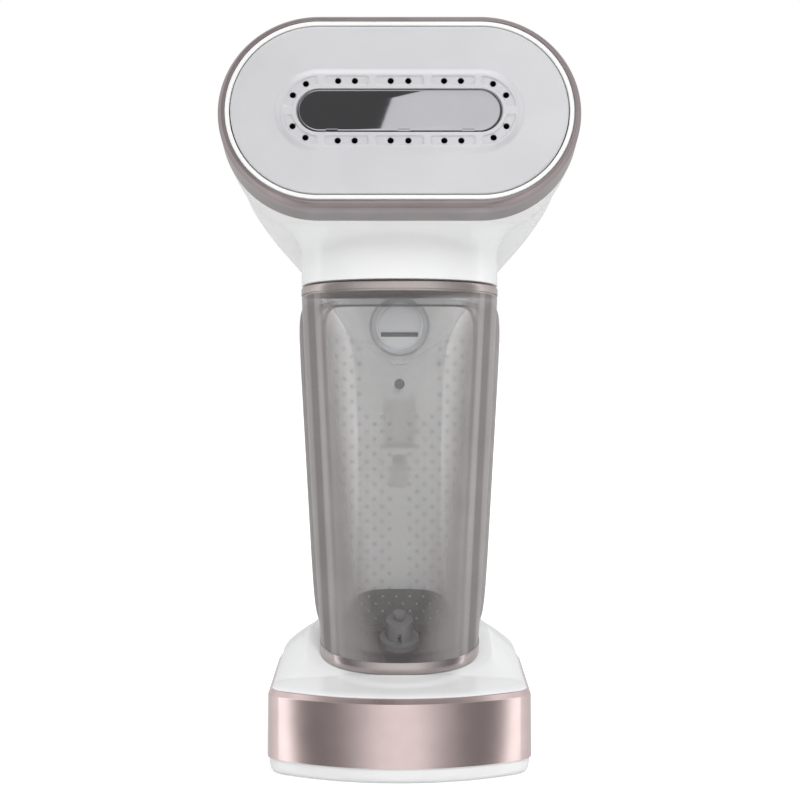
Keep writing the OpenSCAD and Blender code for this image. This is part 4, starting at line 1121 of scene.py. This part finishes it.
# ---------------------------------------------------------------- stage, lights and camera
# A matt floor that glows a little towards the camera only
FLOOR_HALF = 6000
FLOOR_GLOW = 0.42
floor_material, nodes, links = new_material("floor")
for shader_node in list(nodes):
    nodes.remove(shader_node)
output = add_node(nodes, "OutputMaterial")
matt = add_node(nodes, "BsdfDiffuse", {"Color": (0.88, 0.88, 0.88, 1)})
glow = add_node(nodes, "Emission")
seen = add_node(nodes, "LightPath")
lift = add_node(nodes, "Math", {1: FLOOR_GLOW}, operation="MULTIPLY")
both = add_node(nodes, "AddShader")
links.new(seen.outputs["Is Camera Ray"], lift.inputs[0])
links.new(lift.outputs[0], glow.inputs["Strength"])
links.new(matt.outputs[0], both.inputs[0])
links.new(glow.outputs[0], both.inputs[1])
links.new(both.outputs[0], output.inputs["Surface"])
floor_corners = [(x * FLOOR_HALF, y * FLOOR_HALF, 0) for x, y in ((-1, -1), (1, -1), (1, 1), (-1, 1))]
floor = make_piece("floor", floor_corners, [(0, 1, 2, 3)], floor_material)
floor.visible_glossy = False

# The studio's brightness by azimuth, 0 front to 1 back, and by height, 0 straight down to 1 straight up.
# Above HIGH_STARTS the heights' levels take over from the azimuths'.
AZIMUTH_LEVELS = ((0.0, 1.2), (0.05, 1.15), (0.125, 0.65), (0.19, 0.34), (0.245, 0.25), (0.3, 0.27),
                  (0.335, 0.5), (0.362, 2.0), (0.385, 2.0), (0.42, 1.05), (0.5, 1.0), (0.7, 0.8), (1.0, 0.65))
HEIGHT_LEVELS = ((0.0, 0.6), (0.70, 0.9), (0.75, 0.9), (0.785, 0.2), (0.825, 0.2), (0.87, 1.6), (1.0, 1.6))
HIGH_STARTS = 0.66
HIGH_FULL = 0.80
BRIGHTEST = 2.0


def studio_world():
    """A white tent with softboxes and dark flags, drawn by direction round the object."""
    world = bpy.data.worlds.new("studio")
    world.use_nodes = True
    nodes, links = world.node_tree.nodes, world.node_tree.links

    def math_node(operation, *values):
        node = add_node(nodes, "Math", operation=operation)
        for socket, value in zip(node.inputs, values):
            if isinstance(value, (int, float)):
                socket.default_value = value
            else:
                links.new(value, socket)
        return node.outputs[0]

    def level_ramp(value, levels):
        ramp = add_ramp(nodes, [(place, level / BRIGHTEST) for place, level in levels])
        links.new(value, ramp.inputs["Fac"])
        return ramp.outputs["Color"]

    where = add_node(nodes, "TexCoord")
    split = add_node(nodes, "SeparateXYZ")
    links.new(where.outputs["Generated"], split.inputs[0])
    x, y, z = split.outputs
    aside = math_node("ABSOLUTE", x)
    around = math_node("DIVIDE", math_node("ARCTAN2", aside, math_node("MULTIPLY", y, -1.0)), pi)
    rise = math_node("ADD", math_node("DIVIDE", math_node("ARCSINE", z), pi), 0.5)
    walls, above = level_ramp(around, AZIMUTH_LEVELS), level_ramp(rise, HEIGHT_LEVELS)
    blend, colour = mix_colours(nodes, links, walls, above, "MIX")
    is_high = level_ramp(rise, ((0.0, 0.0), (HIGH_STARTS, 0.0), (HIGH_FULL, BRIGHTEST)))
    links.new(is_high, blend.inputs["Factor"])
    ground = nodes["Background"]
    ground.inputs["Strength"].default_value = BRIGHTEST
    links.new(colour, ground.inputs["Color"])
    # The camera itself sees plain white
    seen = add_node(nodes, "LightPath")
    white = add_node(nodes, "Background", {"Color": (1, 1, 1, 1), "Strength": 1.0})
    choose = add_node(nodes, "MixShader")
    links.new(seen.outputs["Is Camera Ray"], choose.inputs[0])
    links.new(ground.outputs[0], choose.inputs[1])
    links.new(white.outputs[0], choose.inputs[2])
    links.new(choose.outputs[0], nodes["World Output"].inputs["Surface"])
    bpy.context.scene.world = world


studio_world()

KEY_PLACE = Vector((0.35, -1.3, 1.3))
KEY_TARGET = Vector((0, 0, 0.15))
KEY_SIZE = 0.6
KEY_POWER = 11
key_data = bpy.data.lights.new("key", "AREA")
key_data.shape = "RECTANGLE"
key_data.size = KEY_SIZE
key_data.size_y = KEY_SIZE
key_data.energy = KEY_POWER
key = bpy.data.objects.new("key", key_data)
key.location = KEY_PLACE
key.rotation_euler = (KEY_TARGET - KEY_PLACE).to_track_quat("-Z", "Y").to_euler()
key.visible_glossy = False
bpy.context.scene.collection.objects.link(key)
bpy.context.scene.view_settings.view_transform = "Standard"

# The camera looks slightly down from straight ahead
LOOK_DOWN = radians(3.28)
camera_data = bpy.data.cameras.new("camera")
camera_data.lens = 87.3
camera_data.sensor_width = 36
camera = bpy.data.objects.new("camera", camera_data)
camera.location = (0.0002, -0.800, 0.190)
camera.rotation_euler = (pi / 2 - LOOK_DOWN, 0, 0)
bpy.context.scene.collection.objects.link(camera)
bpy.context.scene.camera = camera

# A dark card that only the bright inlay mirrors: seen from the camera, its edge crosses the inlay
CARD_DISTANCE = 0.45
INLAY_FACE = 0.9
plate_middle = plate_to_frame @ Vector((0, BOSS_V, INLAY_FACE)) * MM
plate_normal = (plate_to_frame.to_3x3() @ Vector((0, 0, 1))).normalized()
mirrored_eye = camera.location - 2 * (camera.location - plate_middle).dot(plate_normal) * plate_normal
corners = []
for u, v in ((9.2, 40), (-18.4, -40), (-90, -40), (-90, 40)):
    spot = plate_to_frame @ Vector((u, v + BOSS_V, INLAY_FACE)) * MM
    corners.append((spot + (spot - mirrored_eye).normalized() * CARD_DISTANCE) / MM)
card_material, nodes, _ = new_material("card")
for socket, value in (("Base Color", (0, 0, 0, 1)), ("Roughness", 1.0), ("Emission Color", (1, 1, 1, 1)),
                      ("Emission Strength", 0.1)):
    nodes["Principled BSDF"].inputs[socket].default_value = value
card = make_piece("card", corners, [(0, 1, 2, 3)], card_material)
for hidden_from in ("visible_camera", "visible_diffuse", "visible_shadow", "visible_transmission"):
    setattr(card, hidden_from, False)
